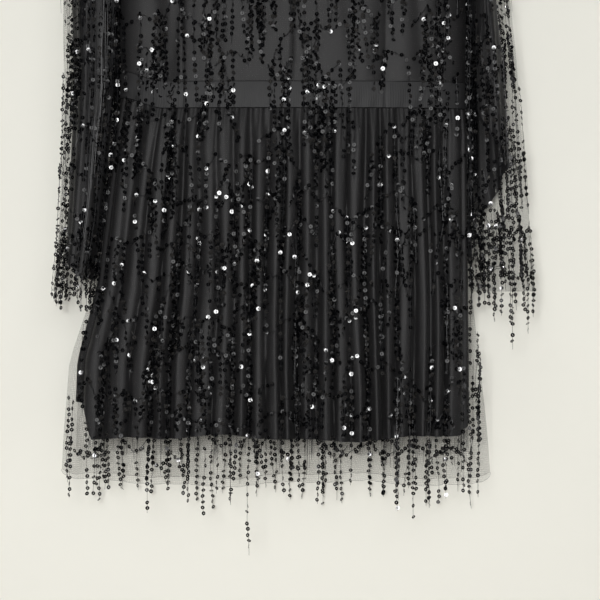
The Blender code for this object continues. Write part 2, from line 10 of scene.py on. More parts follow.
import bpy
import numpy as np
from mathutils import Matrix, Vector


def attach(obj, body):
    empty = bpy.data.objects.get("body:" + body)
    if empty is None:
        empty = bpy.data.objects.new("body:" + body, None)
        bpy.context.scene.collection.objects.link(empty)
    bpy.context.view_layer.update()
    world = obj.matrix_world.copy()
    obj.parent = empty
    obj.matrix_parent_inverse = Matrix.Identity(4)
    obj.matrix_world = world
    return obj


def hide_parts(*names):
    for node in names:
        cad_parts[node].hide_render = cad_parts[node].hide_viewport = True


bl_info = {
    "name": "Sequin Mini Dress",
    "version": (1, 0, 0),
    "blender": (4, 5, 0),
    "location": "3D View > Sidebar > Dress",
    "description": "Makes a mini dress of sequin-fringed net on its hanger",
    "category": "Object",
}

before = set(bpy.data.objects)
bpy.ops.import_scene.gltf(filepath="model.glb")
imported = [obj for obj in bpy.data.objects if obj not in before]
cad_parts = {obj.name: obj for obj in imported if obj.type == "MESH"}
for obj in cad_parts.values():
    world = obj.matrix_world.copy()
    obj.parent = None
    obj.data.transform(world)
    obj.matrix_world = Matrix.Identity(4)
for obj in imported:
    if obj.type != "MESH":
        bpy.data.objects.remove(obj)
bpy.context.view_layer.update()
MM = 0.001
FACES = ((-1, "front"), (1, "back"))
# "right" and "left" are the wearer's
HANDS = ((-1, "right"), (1, "left"))

# Heights and widths of the cut, as in the solids.
NECK_POINT_Z = -92 * MM
SHOULDER_POINT_Z = -124 * MM
FRONT_NECK_Z = -225 * MM
BACK_NECK_Z = -112 * MM
UNDERARM_Z = -332 * MM
BAND_TOP_Z = -497 * MM
BAND_HEIGHT = 30 * MM
SKIRT_Z = BAND_TOP_Z - BAND_HEIGHT
NECK_POINT_X = 85 * MM
SHOULDER_POINT_X = 190 * MM
ARMHOLE_X = 178 * MM
ARMHOLE_CURVE = 1.4
NET_OUT = 2.0 * MM
SKIRT_NET_OUT = 3.2 * MM
NET_LOOSE_BY = 30 * MM
BAND_OUT = 0.8 * MM
SEAM = 0.3 * MM
BAND_GAP = 0.9 * MM
LINING_DROP = 381 * MM
NET_DROP = 432 * MM
SIDE_CURVE = 2.4
SHOULDER_ROUND = 40 * MM

# Gathers of each skirt panel, with the two deep ones of the front.
FOLDS = 22
SEAM_SHARE = 0.05
FOLD_WIDTHS = (0.7, 1.3)
FOLD_DEPTHS = (0.6, 1.3)
DEEP_FOLDS = (10, 16)
DEEP_FOLD = 1.5
BAND_CLIMB = 13 * MM
BAND_CLIMB_FROM = 150 * MM
BAND_CLIMB_OVER = 50 * MM
# depth in millimetres, turns across a panel and down it, and start of each slow wave of the hems
HEM_WAVES = ((3, 11, 0, 0.6), (1.5, 29, 0, 0))
NET_HEM_SHIFT = 0.3
HEM_RISE = 40 * MM
HEM_RISE_FROM = 232 * MM
HEM_RISE_OVER = 16 * MM

# height above the waistband, half width of the body, half depth
BODICE_SECTIONS = (
    (0, 201, 23),
    (70, 203, 28),
    (130, 200, 33),
    (165, 196, 33),
    (200, 222, 33),
    (255, 258, 30),
    (405, 262, 26),
)
NECK_SHARES = (0, 0.4, 0.72, 0.91, 1)
SHOULDER_COLUMNS = 3
ARMHOLE_COLUMNS = 6
FRONT_NECK_CURVE = 1.15
BACK_NECK_CURVE = 3
FOOT_SPREAD = 0.9
NECK_TURNING = 3
ARMHOLE_TURNING = 4
CREASES_FROM_Z = -272 * MM
CREASES_OVER = 120 * MM
# middle at the waistband, lean outwards with height, depth and half width of each long crease
BODICE_CREASES = ((-152, -0.08, 4.5, 15), (108, 0.05, 3.0, 13))
# drop below the waistband, half width at -X, half width at +X, half depth, fold depth
SKIRT_SECTIONS = (
    (0, 201, 201, 23, 1.0),
    (27, 205, 203, 27, 3.0),
    (213, 229, 204, 36, 5.0),
    (297, 252, 205, 38, 5.6),
    (381, 255, 205, 40, 6.0),
    (440, 257, 206, 41, 6.2),
)
# drop, how much wider the net hangs than the lining at -X, and at +X
NET_FLARE = ((0, 0, 0), (213, 0, 1), (297, 6, 10), (381, 10, 19), (440, 11, 22))
FLARE_SHARE = 0.12

# inner x, inner z, outer x, outer z, half depth, fold depth
SLEEVE_RINGS = {
    "left": (
        (203.5, -329, 216, -134, 27, 0),
        (207.5, -337, 238, -166, 29, 0.6),
        (209.0, -354, 247, -228, 31, 1.6),
        (209.5, -378, 250, -305, 33, 3.0),
        (209.5, -412, 252, -392, 34, 4.0),
        (209.8, -500, 262, -500, 34, 5.0),
        (212.5, -665, 275, -665, 34, 5.6),
        (214.5, -740, 281, -740, 35, 6.0),
    ),
    "right": (
        (203.5, -329, 217, -134, 27, 0),
        (207.5, -337, 242, -166, 29, 0.6),
        (209.0, -354, 258, -228, 31, 1.6),
        (209.5, -378, 265, -305, 33, 3.0),
        (209.5, -412, 268, -392, 34, 4.0),
        (212.0, -500, 266, -500, 35, 5.0),
        (229.0, -665, 273, -665, 36, 4.8),
        (239.5, -740, 280, -740, 37, 4.5),
    ),
}
SLEEVE_FOLDS = 6
ARMHOLE_GAP = 0.9 * MM
UNDERARM_LIFT = 5.5 * MM
UNDERARM_CURVE = 6

# x of each long strand at the front hem, and its length below the net
FRONT_STRANDS = (
    (-257, 22), (-238, 18), (-231, 9), (-211, 11), (-198, 9), (-163, 33), (-138, 6), (-129, 10),
    (-118, 19), (-102, 34), (-86, 7), (-78, 17), (-67, 20), (-45, 80), (-29, 5), (-7, 13),
    (9, 8), (34, 24), (41, 6), (70, 5), (92, 15), (106, 16), (118, 30), (129, 12),
    (136, 38), (146, 6), (160, 25), (170, 15), (196, 7), (214, 16),
)
BACK_STRANDS = 26
BACK_STRANDS_WIDTH = 470
BACK_STRANDS_FROM = -250
BACK_STRAND_LENGTHS = (6, 38)
# turn round the cuff from its outside, as a share of half a turn towards the front, and length
CUFF_STRANDS = {
    "left": (
        (-0.55, 24), (-0.38, 40), (-0.2, 18), (-0.06, 30), (0.08, 12), (0.2, 49), (0.31, 22),
        (0.43, 67), (0.54, 28), (0.62, 33), (0.72, 16),
    ),
    "right": (
        (-0.5, 14), (-0.34, 9), (-0.2, 22), (-0.07, 12), (0.05, 7), (0.17, 10), (0.29, 17),
        (0.4, 8), (0.5, 12),
    ),
}

# Hanger.
HOOK_WIRE = 3.5 * MM
HOOK_INSIDE = 17 * MM
HOOK_TIP_ANGLE = -25
HOOK_TURN = 245
HOOK_STEPS = 60
HOOK_SIDES = 20
# share of the wire's width at each ring of its rounded tip
HOOK_TIP = (0.35, 0.8)
STEM_DROP = 13 * MM
STEM_STEPS = 15
STEM_IN_ARM = 4 * MM
ARM_TOP_Z = -75 * MM
ARM_END_X = 184 * MM
ARM_THICKNESS = 12 * MM
ARM_UNDER_SHOULDER = 1.5 * MM
ARM_DEEP = 34 * MM
ARM_END_DEEP = 20 * MM
ARM_ROUND_FROM = 0.93
ARM_END_ROUND = 0.35
ARM_STEPS = 92
ARM_SHARP_ANGLE = 50
# share of the arm's half thickness, share of its depth below its top edge
ARM_PROFILE = ((0, 0), (0.42, -0.09), (0.83, -0.24), (1, -0.45), (1, -0.8), (0.6, -1))

# Steps of the cloth's grids.
SKIRT_COLUMNS = 15 * FOLDS
SKIRT_ROWS = 26
OUTLINE_STEPS = 360
FIELD_STEP = 6 * MM
FIELD_DROP = 474 * MM
BODICE_COLUMNS = 96
BODICE_ROWS = 30
BODICE_ROW_SPREAD = 1.5
SLEEVE_COLUMNS = 72
SLEEVE_STEPS = 7
BAND_COLUMNS = 260
BAND_ROWS = 8
CLOTH_UV = "Along the cloth"
SEQUIN_FINISH = "Polyester sequin film, stamped"
THREAD_FINISH = "Polyester thread, twisted"
SHARP_ANGLE = 65

# Folds of the real skirt, which are finer than those of the solids.
FOLD_LOOSE_BY = 60 * MM
FOLD_WANDER = 0.004
FOLD_STILL_SHARE = 0.1
# strength, turns across, turns down and start
WANDER_WAVES = ((1, 9.7, 11, 0), (0.7, 23, -17, 1.3))
FOLD_LEAN = 0.6
LEAN_BY_FOLD = 1.7
LEAN_BY_DROP = 4
ROUND_SHARE = 0.4
TROUGH_SHARPNESS = 6
FOLD_SHARE = 0.85
PLUMB_INSIDE = 70 * MM
PLUMB_OVER = 125 * MM
PLUMB_AT_SEAM = 0.08
PUCKER = 0.9 * MM
PUCKER_TURNS = 62
PUCKER_UNEVEN = 2
PUCKER_UNEVEN_TURNS = 40
PUCKER_FADE = 20 * MM
MINOR_FOLD = 0.66 * MM
MINOR_LOOSE_BY = 25 * MM
# turns across; how fast it comes and goes down and across; slant down the skirt; start
MINOR_FOLDS = ((9, 11, 19, 5, 0), (17, 15, 6, 1, 1), (29, 19, -7, -3, 2))
# The lining's corner turns up beside the seam at +X, and both corners of the net do.
CORNER_RISE = 14 * MM
CORNER_FROM = 0.93
NET_CORNER_RISE = 11 * MM
NET_CORNER_FROM = 0.455
# The strip of net under the lining's hem.
UNDER_NET = (300 * MM, 399 * MM)
UNDER_NET_ROWS = 9
UNDER_NET_IN = 1.5 * MM
UNDER_NET_OFF_SEAM = 4
UNDER_NET_WAVE = 1.5 * MM
UNDER_NET_WAVE_TURNS = 90

# Creases that the bodice shows: x and z of each end, depth and half width, all in millimetres.
# The narrow ones are seams.
CREASES = {
    -1: (
        (-2, -400, -62, -492, 1.8, 6),
        (-4, -430, -44, -494, 1.5, 5),
        (2, -415, 40, -493, 1.2, 6),
        (-100, -380, -84, -492, 1.4, 7),
        (-128, -330, -140, -490, 2.0, 8),
        (60, -390, 74, -492, 1.3, 7),
        (140, -340, 150, -490, 1.8, 8),
        (-60, -350, -46, -440, 1.2, 8),
        (84, -300, 66, -400, 1.0, 9),
        (-160, -345, -108, -330, 1.4, 8),
        (165, -345, 112, -325, 1.4, 8),
        (0, -235, 0, -492, 1.6, 2.2),
        (-128, -345, -128, -500, 1.1, 2.2),
        (107, -345, 107, -500, 1.1, 2.2),
    ),
    1: (
        (0, -125, 0, -492, 1.3, 2.2),
        (-70, -380, -58, -492, 1.6, 8),
        (82, -400, 64, -490, 1.4, 8),
        (-150, -345, -100, -320, 1.5, 9),
        (150, -345, 96, -330, 1.5, 9),
        (-30, -430, -46, -492, 1.2, 6),
        (34, -440, 42, -492, 1.1, 6),
    ),
}
CREASE_PAST_END = 0.05
CREASE_ENDS = 0.16

# The band's seams, and the drag lines where the gathers pull on it.
BAND_SEAMS = (-128, 107)
BAND_SEAM_DEEP = 0.9 * MM
BAND_SEAM_WIDE = 1.6 * MM
BAND_CROWN = 0.5 * MM
BAND_DRAG = 0.35 * MM
BAND_DRAG_TURNS = 310
BAND_DRAG_SLANT = 3
BAND_DRAG_SLOW_TURNS = 47

# The hanging sleeve lies close to the body, and its lining is narrower than its net.
SLEEVE_CLOSER = 4.9
SLEEVE_CLOSER_RINGS = 3
LINING_NARROWER = {"right": 9, "left": 15}
# share of a turn from the outside by way of the front, and height of the lining's slanting hem
LINING_HEMS = {
    "left": (
        (0, -592), (0.1, -584), (0.25, -556), (0.38, -530), (0.47, -516), (0.53, -640), (0.62, -650),
        (0.75, -638), (0.9, -606), (1, -592),
    ),
    "right": ((0, -700), (0.25, -716), (0.5, -728), (0.75, -722), (1, -700)),
}
SLEEVE_WRINKLE = 1.6 * MM
WRINKLE_LOOSE_BY = 1.5

# Sequins and threads. Lengths with a range are in millimetres.
SEQUIN_SIDES = 8
SEQUIN_SIZES = (0.94, 1.04)
SEQUIN_BEHIND_THREAD = 0.2 * MM
THREAD_SIDES = 3
# a line that no sequin faces along, from which its spokes are worked out
NOT_FACED = np.array((0.13, 0.07, 1.0))
UPWARDS = np.array((0.0, 0.0, 1.0))
NEARLY_NONE = 1e-6
# Share of sequins that hang flat and plumb, so that some of them throw the light at the viewer.
FLAT_SHARE = 0.1
FLAT_TILT = 0.1
FLAT_ABOVE_Z = -700 * MM
FLAT_OVER = 140 * MM
FLAT_LESS = 0.85
EDGE_ON_SHARE = 0.3
EDGE_ON_TURN = (0.9, 1.5)
PITCH_UNEVEN = (0.9, 1.12)
ZIGZAG_UNEVEN = (0.3, 1.2)
EDGE_TILT = 0.6
SEQUIN_TILT = 0.36
UP_TILT = 0.8
FLAT_UP = 0.05
PLUMB_LESS = 0.3
GAP_SHARE = 0.12
ZIGZAG = 0.5 * MM
FIRST_SEQUIN = (0.3, 0.9)
STRAND_LIFT = 1.3 * MM
STRAND_LIFT_MORE = 1.4 * MM
STRAND_SEGMENT = 9 * MM
STRAND_LEAN = 0.025
STRAND_SWAY = (0.3, 1.4)
STRAND_SWAY_TURNS = (30, 70)
STEM_STEP = 2.2 * MM
STEM_LEAN = 0.07
STEM_BEND = (1, 4)
STEM_BEND_TURNS = 38
STEM_LOOP = 1.1 * MM
STEM_LOOP_TURNS = 1.9
STEM_LIFT = 0.7 * MM
CLOSE_PITCH = 3.9 * MM
FIRST_STEM_SEQUIN = 2 * MM
STEM_SEQUIN_SHARE = 0.9
STEM_SEQUIN_ASIDE = (0.3, 1.9)
STEM_SEQUIN_LIFT = 1.4 * MM
STEM_FLAT_SHARE = 0.05

# Relief of the net that the strands lie on.
RELIEF_STEP = 2 * MM
RELIEF_X = 300 * MM
RELIEF_LEVEL = 3 * MM
RELIEF_FOOT_Z = -1070 * MM
RELIEF_PAST_HEM = 8 * MM
RELIEF_BAND = 1 * MM
RELIEF_HUNG_OVER = 3
# points on each side that soften the hung relief down and across
RELIEF_SOFT = (4, 2)
SLIP = 1.9 * MM
SLIP_OFF_SIDE = 30 * MM
SLIP_TIMES = 3
SLOPE_REACH = 4 * MM
STEEPEST_ACROSS = 0.9
STEEPEST_DOWN = 0.5

# Shapes of the embroidered lines, in millimetres across and up, that the strands hang from.
MOTIFS = (
    ((-24, -13), (-15, -3), (-5, 5), (4, 1), (13, -5), (22, -14)),
    ((-20, 4), (-12, -6), (-4, -12), (2, -3), (9, 7), (17, 13)),
    ((-16, -16), (-9, -5), (0, 8), (6, -4), (12, -12), (21, -6)),
    ((-22, 6), (-12, 0), (-3, -7), (6, -2), (15, 4), (24, -2)),
)
MOTIF_PITCH = 47 * MM
MOTIF_ROWS_Z = (
    -140, -186, -236, -282, -330, -374, -420, -462, -505, -548,
    -590, -634, -676, -720, -766, -808, -850, -886, -922,
)
MOTIF_PLACES = np.arange(-6, 6.5)
MOTIF_UNEVEN = (6, 9)
MOTIF_SCALES = (0.75, 1.1)
MOTIF_CORNER_UNEVEN = 1.6
MOTIF_SEQUIN_PITCH = 5.4 * MM
MOTIF_SEQUIN_UNEVEN = 0.9
MOTIF_SEQUIN_SHARE = 0.86
MOTIF_LIFT = 0.6 * MM
MOTIF_OFF_SIDE = 3 * MM
MOTIF_TILT = 0.26
FIRST_MOTIF_SEQUIN = (1, 4)
LOOP_LEAN = 0.4
STITCH_LOOP = 0.9 * MM
STRAND_COUNTS = (3, 4, 4, 5)
STRAND_LENGTHS = (30, 115)
STRANDS_BESIDE = 0.25
SECOND_APART = (2.5, 4)
SECOND_LENGTHS = (0.5, 0.95)
STEMS = 2
STEM_APART = (2.6, 4)
STEM_LOWER = (0, 12)
LOWEST_STRAND_Z = -908 * MM
LOW_STRAND_MORE = 50 * MM
LOW_STRAND_SHARE = 0.2
SHORTEST_STRAND = 12 * MM
STEM_FOOT_Z = -900 * MM
BODY_TOP_Z = -100 * MM
BODY_SPLIT_Z = -484 * MM
BODY_FOOT_Z = -960 * MM
BODY_DENSITY = {"front": 0.9, "back": 0.62}
SIDE_STRANDS_Z = (-880, -700)
SIDE_STRAND_LENGTHS = (40, 120)
SIDE_STRANDS_FOOT_Z = -972 * MM
SIDE_STRANDS = {-1: 4, 1: 5}
SIDE_STRAND_LEAN = 0.03
SIDE_GAP_SHARE = 0.28

# Strands of the sleeves. Rows count the rings of the solids from the armhole.
SLEEVE_ROWS = (0.9, 2.0, 2.9, 3.7, 4.4, 5.0, 5.45, 5.9, 6.3, 6.6, 6.85, 7.1, 7.35, 7.6)
SLEEVE_MOTIFS = 7
SLEEVE_DENSITY = 0.85
SLEEVE_UNEVEN = 0.12
SLEEVE_OUTSIDE_LESS = 0.93
SLEEVE_RADIUS = 33 * MM
SLEEVE_ROW_HEIGHT = 75 * MM
SLEEVE_STRAND_LENGTHS = (30, 110)
SLEEVE_STRAND_COUNTS = (2, 3, 4)
SLEEVE_FOOT_Z = -765 * MM
SLEEVE_SWAY = 0.05
SLEEVE_SWAY_TURNS = 45
SLEEVE_MOTIF_FIRST_ROW = 0.4
SLEEVE_MOTIF_SCALE = 0.8
SLEEVE_STRAND_ROWS = (0.5, 7.7)
SLEEVE_STRAND_LIFT = (1.0, 2.6)
OUTER_LIFT = 1.6 * MM
OUTER_GAP_SHARE = 0.16
CLOSE_SHARE = 0.5
# angle, first row and length in millimetres of the long strands down the outside
OUTER_STRANDS = {
    "right": (
        (0.2, 1.2, 190), (0.5, 2.6, 150), (1.12, 4.6, 170), (1.2, 5.2, 100),
        (0.12, 5.85, 235), (0.36, 5.95, 190), (6.1, 3.4, 140),
    ),
    "left": (
        (0.25, 1.4, 230), (0.5, 4.5, 130), (0.42, 5.5, 150), (0.6, 5.8, 170),
        (0.15, 6.0, 150), (0.95, 5.2, 170), (6.0, 3.2, 200),
    ),
}
GAP_STRANDS = 40
GAP_STRANDS_Z = (-620, -345)
GAP_STRAND_LENGTHS = (60, 130)
GAP_STRANDS_FOOT_Z = -745 * MM
GAP_STRANDS_OFF_BODY = (0.9, 4.6)
GAP_STRANDS_DEEP = 16
GAP_PITCH = 4.6 * MM
GAP_STRAND_POINTS = 14
# number, lengths, width in millimetres and half turns of the fine loose threads of each sleeve
BARE_THREADS = {
    "right": ((60, (40, 130), 0.35, (0, 2)), (150, (60, 150), 0.7, (0.4, 1.6))),
    "left": ((60, (40, 130), 0.35, (0, 2)), (70, (60, 150), 0.7, (0.4, 1.6))),
}
BARE_THREAD_ROWS = (1.5, 6.9)
BARE_THREAD_POINTS = 6
BARE_THREAD_LIFT = (0.8, 3)
BARE_THREADS_FOOT_Z = -760 * MM

# Fringe of the hem and cuffs.
EDGE_THREAD = 0.35 * MM
EDGE_THREAD_OUT = 0.4 * MM
HEM_STRANDS_ABOVE = (45, 75)
HEM_STRAND_LIFT = 2.2 * MM
HEM_STRAND_LEAN = 0.012
HEM_STRAND_TILT = 0.7
HEM_STRANDS_BESIDE = 0.4
HEM_SECOND_APART = (3, 5)
HEM_SECOND_LENGTHS = (0.6, 0.93)
HEM_THREADS = 70
HEM_THREADS_X = (-246, 208)
HEM_THREADS_Z = -905 * MM
HEM_THREADS_LOWER = (-6, 10)
HEM_THREAD_LENGTHS = (8, 26)
HEM_THREAD_SPREAD = 2.2
TUFTS_X = (-226, -150, -88, -14, 20, 114, 142, 196)
TUFTS_Z = -893 * MM
TUFT_LENGTHS = (22, 58)
TUFT_SPREAD = 2.6
TUFT_THREADS = 6
TUFT_THREAD_SHARE = 0.8
TUFT_LEAN = 0.03
TUFT_LIFT = (0.4, 2.4)
CUFF_ROWS = (7.0, 7.6)
CUFF_GAP_SHARE = 0.06

# The photo's frame: 690 mm across the dress, seen from 2 m.
VIEW_WIDTH = 690 * MM
VIEW_FROM = 2.0
VIEW_MIDDLE = (8 * MM, -750 * MM)
DRESS_FRONT_Y = -35 * MM
SENSOR = 36
CLIP_END = 50
WALL_Y = 62 * MM
WALL_HALF_WIDTH = 2.6
WALL_TOP_Z = 1
FLOOR_Z = -1.45
FLOOR_HALF_WIDTH = 4
DRESS_MIDDLE = (0, 0, -0.75)
# name, place, what it points at, width, height, radiance
LIGHTS = (
    ("key", (-0.24, -2.4, -0.55), DRESS_MIDDLE, 0.5, 0.5, 43),
    ("overhead", (0.1, -1.9, 0.1), (0, 0, -0.6), 1.6, 0.6, 3.6),
    ("left_strip", (-1.4, -1.0, -0.75), DRESS_MIDDLE, 0.5, 1.1, 1.7),
    ("right_strip", (1.4, -1.0, -0.75), DRESS_MIDDLE, 0.5, 1.1, 1.9),
    ("back_fill", (0.3, 2.4, 0.3), DRESS_MIDDLE, 1.2, 1.2, 15.0),
)
ROOM_COLOUR = (0.9, 0.95, 1, 1)
ROOM_STRENGTH = 0.055


def linear(hex_colour):
    """An sRGB hex colour as linear red, green and blue."""
    parts = [int(hex_colour[start : start + 2], 16) / 255 for start in (0, 2, 4)]
    return [part / 12.92 if part <= 0.04045 else ((part + 0.055) / 1.055) ** 2.4 for part in parts]


def length_setting(name, description, millimetres):
    return bpy.props.FloatProperty(
        name=name, description=description, default=millimetres * MM, unit="LENGTH", precision=5, min=0
    )


def colour_setting(name, description, hex_colour):
    return bpy.props.FloatVectorProperty(
        name=name, description=description, default=linear(hex_colour), subtype="COLOR", size=3, min=0, max=1
    )


class DressSizes(bpy.types.PropertyGroup):
    """Sizes that a maker of the dress would change."""

    lining: length_setting("Lining", "Thickness of the crepe lining", 0.6)
    net: length_setting("Net", "Thickness of the net", 0.4)
    band: length_setting("Waistband", "Thickness of the interfaced waistband", 1.6)
    sequin: length_setting("Sequin", "Width of a sequin", 5)
    hole: length_setting("Sequin hole", "Width of the hole in a sequin", 1.25)
    cup: length_setting("Sequin cup", "How far a sequin's rim stands over its middle", 0.045)
    pitch: length_setting("Sequin pitch", "Distance between sequins on a strand", 6.6)
    thread: length_setting("Thread", "Width of the thread of the strands", 0.5)
    stitch: length_setting("Stitch", "Width of the chain stitch that holds the strands", 0.9)


class DressColours(bpy.types.PropertyGroup):
    """Colours of the cloth, the sequins, the hanger and the stage."""

    crepe: colour_setting("Crepe", "Lining", "171617")
    satin: colour_setting("Satin", "Waistband", "1c1c1d")
    tulle: colour_setting("Net", "Net", "141415")
    sequins: colour_setting("Sequins", "Sequins", "020203")
    thread: colour_setting("Thread", "Thread and chain stitch", "0e0e10")
    beech: colour_setting("Beech", "Hanger", "b98a58")
    wire: colour_setting("Wire", "Hook", "c9c9cc")
    wall: colour_setting("Wall", "Wall behind the dress", "e8e7de")
    floor: colour_setting("Floor", "Floor far below", "c2bdb8")


# Curves shared with the solids


def smooth(share):
    """0 below 0 and 1 above 1, with a soft S between them."""
    share = np.clip(share, 0, 1)
    return share * share * (3 - 2 * share)


def unit(vectors):
    """Vectors brought to a length of 1."""
    vectors = np.asarray(vectors, float)
    return vectors / np.maximum(np.linalg.norm(vectors, axis=-1, keepdims=True), 1e-12)


def waves(table, across, down):
    """A sum of waves: strength, turns across, turns down and start of each."""
    return sum(strong * np.sin(wide * across + long * down + start) for strong, wide, long, start in table)


def dents(away, deep, wide):
    """How far a soft trough sinks at some distances from its middle; sizes in millimetres."""
    return deep * MM * np.exp(-((away / (wide * MM)) ** 2))


def read_table(table, at, column):
    """One column of a table of millimetres, in metres, between its rows."""
    rows = np.array(table, float) * MM
    return np.interp(at, rows[:, 0], rows[:, column])


def run_along(path):
    """Distance from the start of a path at each of its points."""
    return np.concatenate([[0], np.cumsum(np.linalg.norm(np.diff(path, axis=0), axis=1))])


def band_climb(x):
    return BAND_CLIMB * smooth((-x - BAND_CLIMB_FROM) / BAND_CLIMB_OVER)


def shoulder_line(x):
    """Height of the shoulder seam, carried on over the neck."""
    slope = (NECK_POINT_Z - SHOULDER_POINT_Z) / (SHOULDER_POINT_X - NECK_POINT_X)
    return NECK_POINT_Z + (NECK_POINT_X - abs(x)) * slope


def neck_line(share, facing):
    """Height of the neckline at a share of the way from its middle to the neck point."""
    low, curve = (FRONT_NECK_Z, FRONT_NECK_CURVE) if facing < 0 else (BACK_NECK_Z, BACK_NECK_CURVE)
    return low + (NECK_POINT_Z - low) * share**curve


def body_shape(x, z):
    """Half width and half depth at a height, and how much of the depth the side and top leave."""
    height = z - BAND_TOP_Z
    wide = read_table(BODICE_SECTIONS, height, 1)
    deep = read_table(BODICE_SECTIONS, height, 2)
    side = np.maximum(1 - (np.abs(x) / wide) ** SIDE_CURVE, 0)
    top = np.clip((shoulder_line(x) - z) / SHOULDER_ROUND, 0, 1)
    return wide, deep, side, top


def body_depth(x, z):
    """How far the bodice stands from the middle plane."""
    _, deep, side, top = body_shape(x, z)
    return deep * np.sqrt(side * top)


def body_out(x, z, facing):
    """The way the bodice's surface faces."""
    wide, deep, side, top = body_shape(x, z)
    across = deep**2 * top * SIDE_CURVE * (np.abs(x) / wide) ** (SIDE_CURVE - 1) / wide
    up = np.where(top < 1, deep**2 * side / SHOULDER_ROUND, 0)
    return unit(np.stack([np.copysign(across, x), 2 * facing * body_depth(x, z), up], axis=-1))


def armhole(turn):
    """A point of the armhole's edge, from the shoulder point at turn 0 to the underarm at 1."""
    middle = (SHOULDER_POINT_Z + UNDERARM_Z) / 2
    half = (SHOULDER_POINT_Z - UNDERARM_Z) / 2
    z = middle + half * np.cos(math.pi * turn)
    underarm_x = float(read_table(BODICE_SECTIONS, UNDERARM_Z - BAND_TOP_Z, 1))
    straight = SHOULDER_POINT_X + (underarm_x - SHOULDER_POINT_X) * turn
    hollow = (SHOULDER_POINT_X + underarm_x) / 2 - ARMHOLE_X
    return straight - hollow * np.maximum(np.sin(math.pi * turn), 0) ** ARMHOLE_CURVE, z


def armhole_out(turn, facing):
    """The way out of the armhole's loop, square to the arm."""
    middle = (SHOULDER_POINT_Z + UNDERARM_Z) / 2
    half = (SHOULDER_POINT_Z - UNDERARM_Z) / 2
    x, z = armhole(turn)
    deep = body_depth(*armhole(0.5))
    return unit((0, facing * body_depth(x, z) / deep**2, (z - middle) / half**2))


def bodice_edge(column, facing):
    """The bodice's top edge at a column of the solids: x, z and the armhole's turn, or none."""
    neck = len(NECK_SHARES) - 1
    if column < neck:
        part = float(np.interp(column, range(neck + 1), NECK_SHARES))
        return NECK_POINT_X * part, neck_line(part, facing), None
    if column < neck + SHOULDER_COLUMNS:
        x = NECK_POINT_X + (SHOULDER_POINT_X - NECK_POINT_X) * (column - neck) / SHOULDER_COLUMNS
        return x, float(shoulder_line(x)), None
    turn = (column - neck - SHOULDER_COLUMNS) / ARMHOLE_COLUMNS
    return (*armhole(turn), turn)


def bodice_top(x, facing):
    """Height of the bodice's top edge over a place across it."""
    x = abs(x)
    return neck_line(x / NECK_POINT_X, facing) if x < NECK_POINT_X else float(shoulder_line(x))


def body_reach(z, side):
    """How far the body's cloth goes to one side at a level."""
    if z > UNDERARM_Z:
        x, height = armhole(np.linspace(0, 1, 41))
        return float(np.interp(z, height[::-1], x[::-1]))
    if z > SKIRT_Z:
        return float(read_table(BODICE_SECTIONS, z - BAND_TOP_Z, 1))
    return float(read_table(SKIRT_SECTIONS, SKIRT_Z - z, 1 if side < 0 else 2))


def inside_body(x, z, facing, margin=5 * MM):
    return abs(x) < body_reach(z, x) - margin and z < bodice_top(x, facing) - margin


def oval(turn):
    """Places round one face of the body's oval from -X to +X, as shares of its half width and depth."""
    power = 2 / SIDE_CURVE
    return -np.sign(np.cos(turn)) * np.abs(np.cos(turn)) ** power, np.sin(turn) ** power


def fold_table(facing):
    """Where each gather starts, as shares of a panel, and how deep it is beside the usual."""
    uneven = random.Random(7 + facing)
    widths = [uneven.uniform(*FOLD_WIDTHS) for _ in range(FOLDS)]
    depths = [uneven.uniform(*FOLD_DEPTHS) for _ in range(FOLDS)]
    if facing < 0:
        for fold in DEEP_FOLDS:
            depths[fold] = DEEP_FOLD
    return np.concatenate([[0], np.cumsum(widths)]) / sum(widths), np.array(depths)


# Cloth as grids of points


class Cloth:
    """One piece of cloth: a grid of middle points and the ways that they face."""

    def __init__(self, rows, columns, points, out):
        self.rows = np.asarray(rows, float)
        self.columns = np.asarray(columns, float)
        self.points = points
        self.out = out

    def at(self, row, column):
        """Points and ways out between those of the grid."""
        high = np.interp(row, self.rows, np.arange(len(self.rows)))
        across = np.interp(column, self.columns, np.arange(len(self.columns)))
        above = np.minimum(high.astype(int), len(self.rows) - 2)
        before = np.minimum(across.astype(int), len(self.columns) - 2)
        down = (high - above)[..., None]
        along = (across - before)[..., None]
        found = []
        for grid in (self.points, self.out):
            top = grid[above, before] * (1 - along) + grid[above, before + 1] * along
            foot = grid[above + 1, before] * (1 - along) + grid[above + 1, before + 1] * along
            found.append(top * (1 - down) + foot * down)
        return found[0], unit(found[1])

    def moved(self, distance):
        return Cloth(self.rows, self.columns, self.points + self.out * distance, self.out)

    def off_seam(self, axis, sign):
        """Keeps the points half a seam's gap off the plane of a seam."""
        self.points[..., axis] = sign * np.maximum(sign * self.points[..., axis], SEAM / 2)
        return self


def plumb_shares(x, band_x, shares, wider):
    """Where the folds at each place start at the band: straight above, but for the fanned side."""
    # Each band place hangs at its own x, moved out by a share of the flare near -X.
    hung_x = band_x - wider * smooth((-band_x - PLUMB_INSIDE) / PLUMB_OVER)
    return np.interp(x, hung_x, shares)


